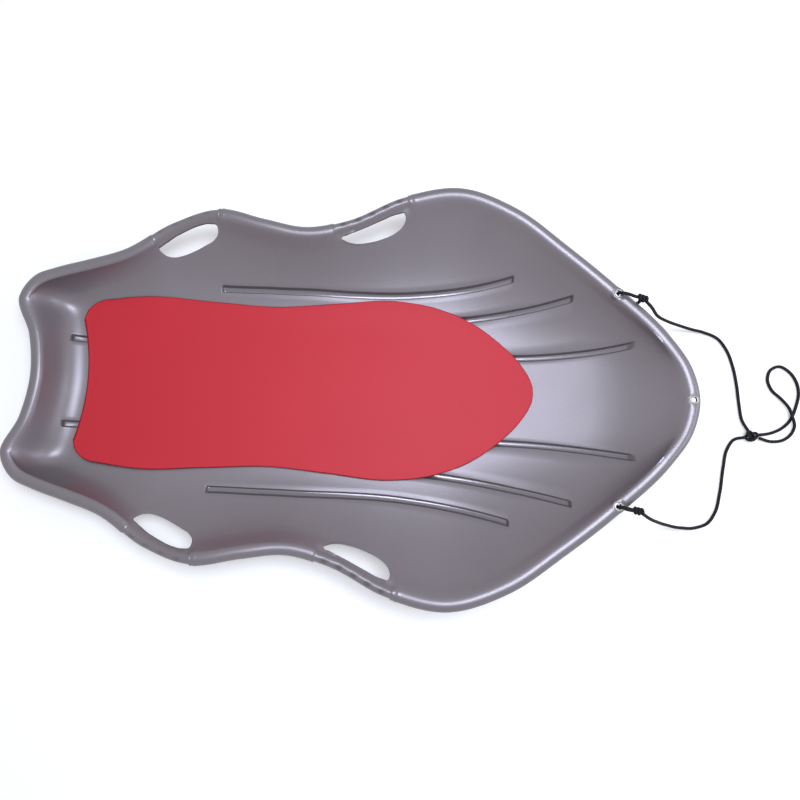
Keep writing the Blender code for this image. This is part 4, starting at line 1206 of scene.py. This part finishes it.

# %% [markdown]
# The eyelets and washers are plated metal, a little cloudy from handling. The bore of each eyelet
# is painted nearly black, as painted shade inside the hole.

# %% Bright metal
metal, tree, shader = new_material("plated_metal")
grain = use_group(tree, grain_group, Scale=2500.0)
cloud = use_group(tree, wear_group, Scale=300.0, Amount=1.0)["Cloud"]
colour = mix_colours(tree, cloud, (0.50, 0.48, 0.47), (0.33, 0.31, 0.30))
# Painted shade: the bore is painted nearly black.
colour = mix_colours(tree, read_mark(tree, "bore"), colour, (0.020, 0.016, 0.016))
fill(tree, shader, {"Base Color": colour, "Metallic": 1.0,
                    "Roughness": remap(tree, cloud, 0.0, 1.0, 0.16, 0.34),
                    "Normal": bump(tree, grain["Height"], 0.10, 0.0001)})
for piece in turned_pieces:
    piece.data.materials.append(metal)

# %% [markdown]
# The rope is black braided cord. Its skin already stands up in pillows, so the material adds the
# fine fibres that run along each strand, from the cord's own UV map, as lighter and darker streaks
# and a fine bump.

# %% Black cord
cord, tree, shader = new_material("black_braided_cord")
uv = add_node(tree, "UVMap", "UV", {}, uv_map="along_the_cord")
stretched = add_node(tree, "Mapping", "Vector", {
    "Vector": uv, "Scale": (60.0, 900.0, 1.0), "Rotation": (0.0, 0.0, 0.5)})
fibre = noise_in(tree, stretched, 1.0, 2.0)
cloud = use_group(tree, wear_group, Scale=60.0, Amount=0.7)["Cloud"]
colour = mix_colours(tree, remap(tree, fibre, 0.35, 0.70, 0.0, 1.0),
                     (0.005, 0.004, 0.005), (0.020, 0.017, 0.018))
colour = mix_colours(tree, cloud, colour, (0.011, 0.009, 0.010))
fill(tree, shader, {"Base Color": colour, "Roughness": 0.72, "Specular IOR Level": 0.2,
                    "Normal": bump(tree, fibre, 0.5, 0.0003)})
for piece in cords:
    piece.data.materials.append(cord)
print("materials:", [m.name for m in (silver, foam, metal, cord)])

# %% [markdown]
# ## Floor and light
#
# The sled lies on plain white paper. The camera and mirrored rays see it glow a little, and
# more with the distance from the sled, so that it runs into the white behind it while the
# sled's own shadow stays. The light that falls on the sled knows nothing of this: it sees a
# paper that is a little darker. The paper can't be seen from below, so that a camera down
# there sees the underside.

# %% Floor
floor_half, floor_drop = 7.0, 0.0005
glow_from, glow_to = 1.0, 3.4
near_glow, far_glow = 0.31, 0.62
floor_mesh = bpy.data.meshes.new("floor")
corners = floor_half * np.array([[-1, -1, 0], [1, -1, 0], [1, 1, 0], [-1, 1, 0]])
floor_mesh.from_pydata((corners - (0, 0, floor_drop)).tolist(), [], [(0, 1, 2, 3)])
floor = bpy.data.objects.new("floor", floor_mesh)
bpy.context.scene.collection.objects.link(floor)
paper, tree, shader = new_material("white_paper")
cloud = use_group(tree, wear_group, Scale=1.5, Amount=0.3)["Cloud"]
colour = mix_colours(tree, cloud, (0.80, 0.80, 0.80), (0.78, 0.78, 0.78))
seen = plain_rays(tree)
distance = add_node(tree, "VectorMath", "Value", {0: add_node(tree, "TexCoord", "Object", {})},
                    operation="LENGTH")
glow = remap(tree, distance, glow_from, glow_to, near_glow, far_glow)
behind = combine(tree, "MULTIPLY", add_node(tree, "NewGeometry", "Backfacing", {}),
                 add_node(tree, "LightPath", "Is Camera Ray", {}))
fill(tree, shader, {"Base Color": mix_colours(tree, seen, (0.58, 0.57, 0.57), colour),
                    "Roughness": 0.9, "Emission Color": (1.0, 1.0, 1.0, 1.0),
                    "Emission Strength": remap(tree, seen, 0.0, 1.0, 0.0, glow),
                    "Alpha": remap(tree, behind, 0.0, 1.0, 1.0, 0.0)})
floor_mesh.materials.append(paper)
print("floor, metres:", 2 * floor_half)

# %% [markdown]
# A wide soft lamp hangs above the front half of the sled, and its reflection is the haze on
# the hull's floor. A weaker one beyond the nose lights the walls that face forwards. The
# world fills in from all round, brighter above than at the horizon, and behind everything
# the camera and mirrored rays see plain white.

# %% Light
lamp_colour = (0.88, 0.96, 1.14)
over_sled, beyond_nose = (0.42, 0.20), (1.9, 0.0, 1.1)


def soft_lamp(name, place, target, size, power):
    """An oblong lamp turned towards a point: its own -Z axis lies along target - place."""
    light = bpy.data.lights.new(name, "AREA")
    light.shape = "RECTANGLE"
    light.size, light.size_y = size
    light.energy = power
    light.color = lamp_colour
    lamp = bpy.data.objects.new(name, light)
    lamp.location = place
    lamp.rotation_euler = Vector(np.subtract(target, place)).to_track_quat("-Z", "Y").to_euler()
    lamp.visible_camera = False
    bpy.context.scene.collection.objects.link(lamp)


soft_lamp("over_lamp", (*over_sled, 2.2), (*over_sled, 0.0), size=(1.06, 0.80), power=33.0)
soft_lamp("front_lamp", beyond_nose, (-0.55, 0.0, 0.0), size=(1.3, 0.7), power=7.5)

world = bpy.data.worlds.new("studio")
bpy.context.scene.world = world
world.use_nodes = True
tree = world.node_tree
direction = add_node(tree, "TexCoord", "Generated", {})
rise = remap(tree, add_node(tree, "SeparateXYZ", "Z", {"Vector": direction}), 0.0, 0.9, 0.0, 1.0)
shade, outlet = tree.nodes["Background"], tree.nodes["World Output"]
fill(tree, shade, {"Strength": 0.56,
                   "Color": mix_colours(tree, rise, (0.62, 0.53, 0.55), (0.95, 0.96, 1.0))})
plain = add_node(tree, "Background", 0, {"Color": (1.0, 1.0, 1.0, 1.0)})
fill(tree, outlet, {"Surface": add_node(tree, "MixShader", 0, {
    "Fac": plain_rays(tree), 1: shade.outputs[0], 2: plain})})
bpy.context.scene.view_settings.view_transform = "Standard"
print("world:", world.name)

# %% [markdown]
# ## Finish
#
# The view layer is brought up to date at the end. The dressed sled has to stay inside
# the imported model's box.

# %% Finish
bpy.context.view_layer.update()
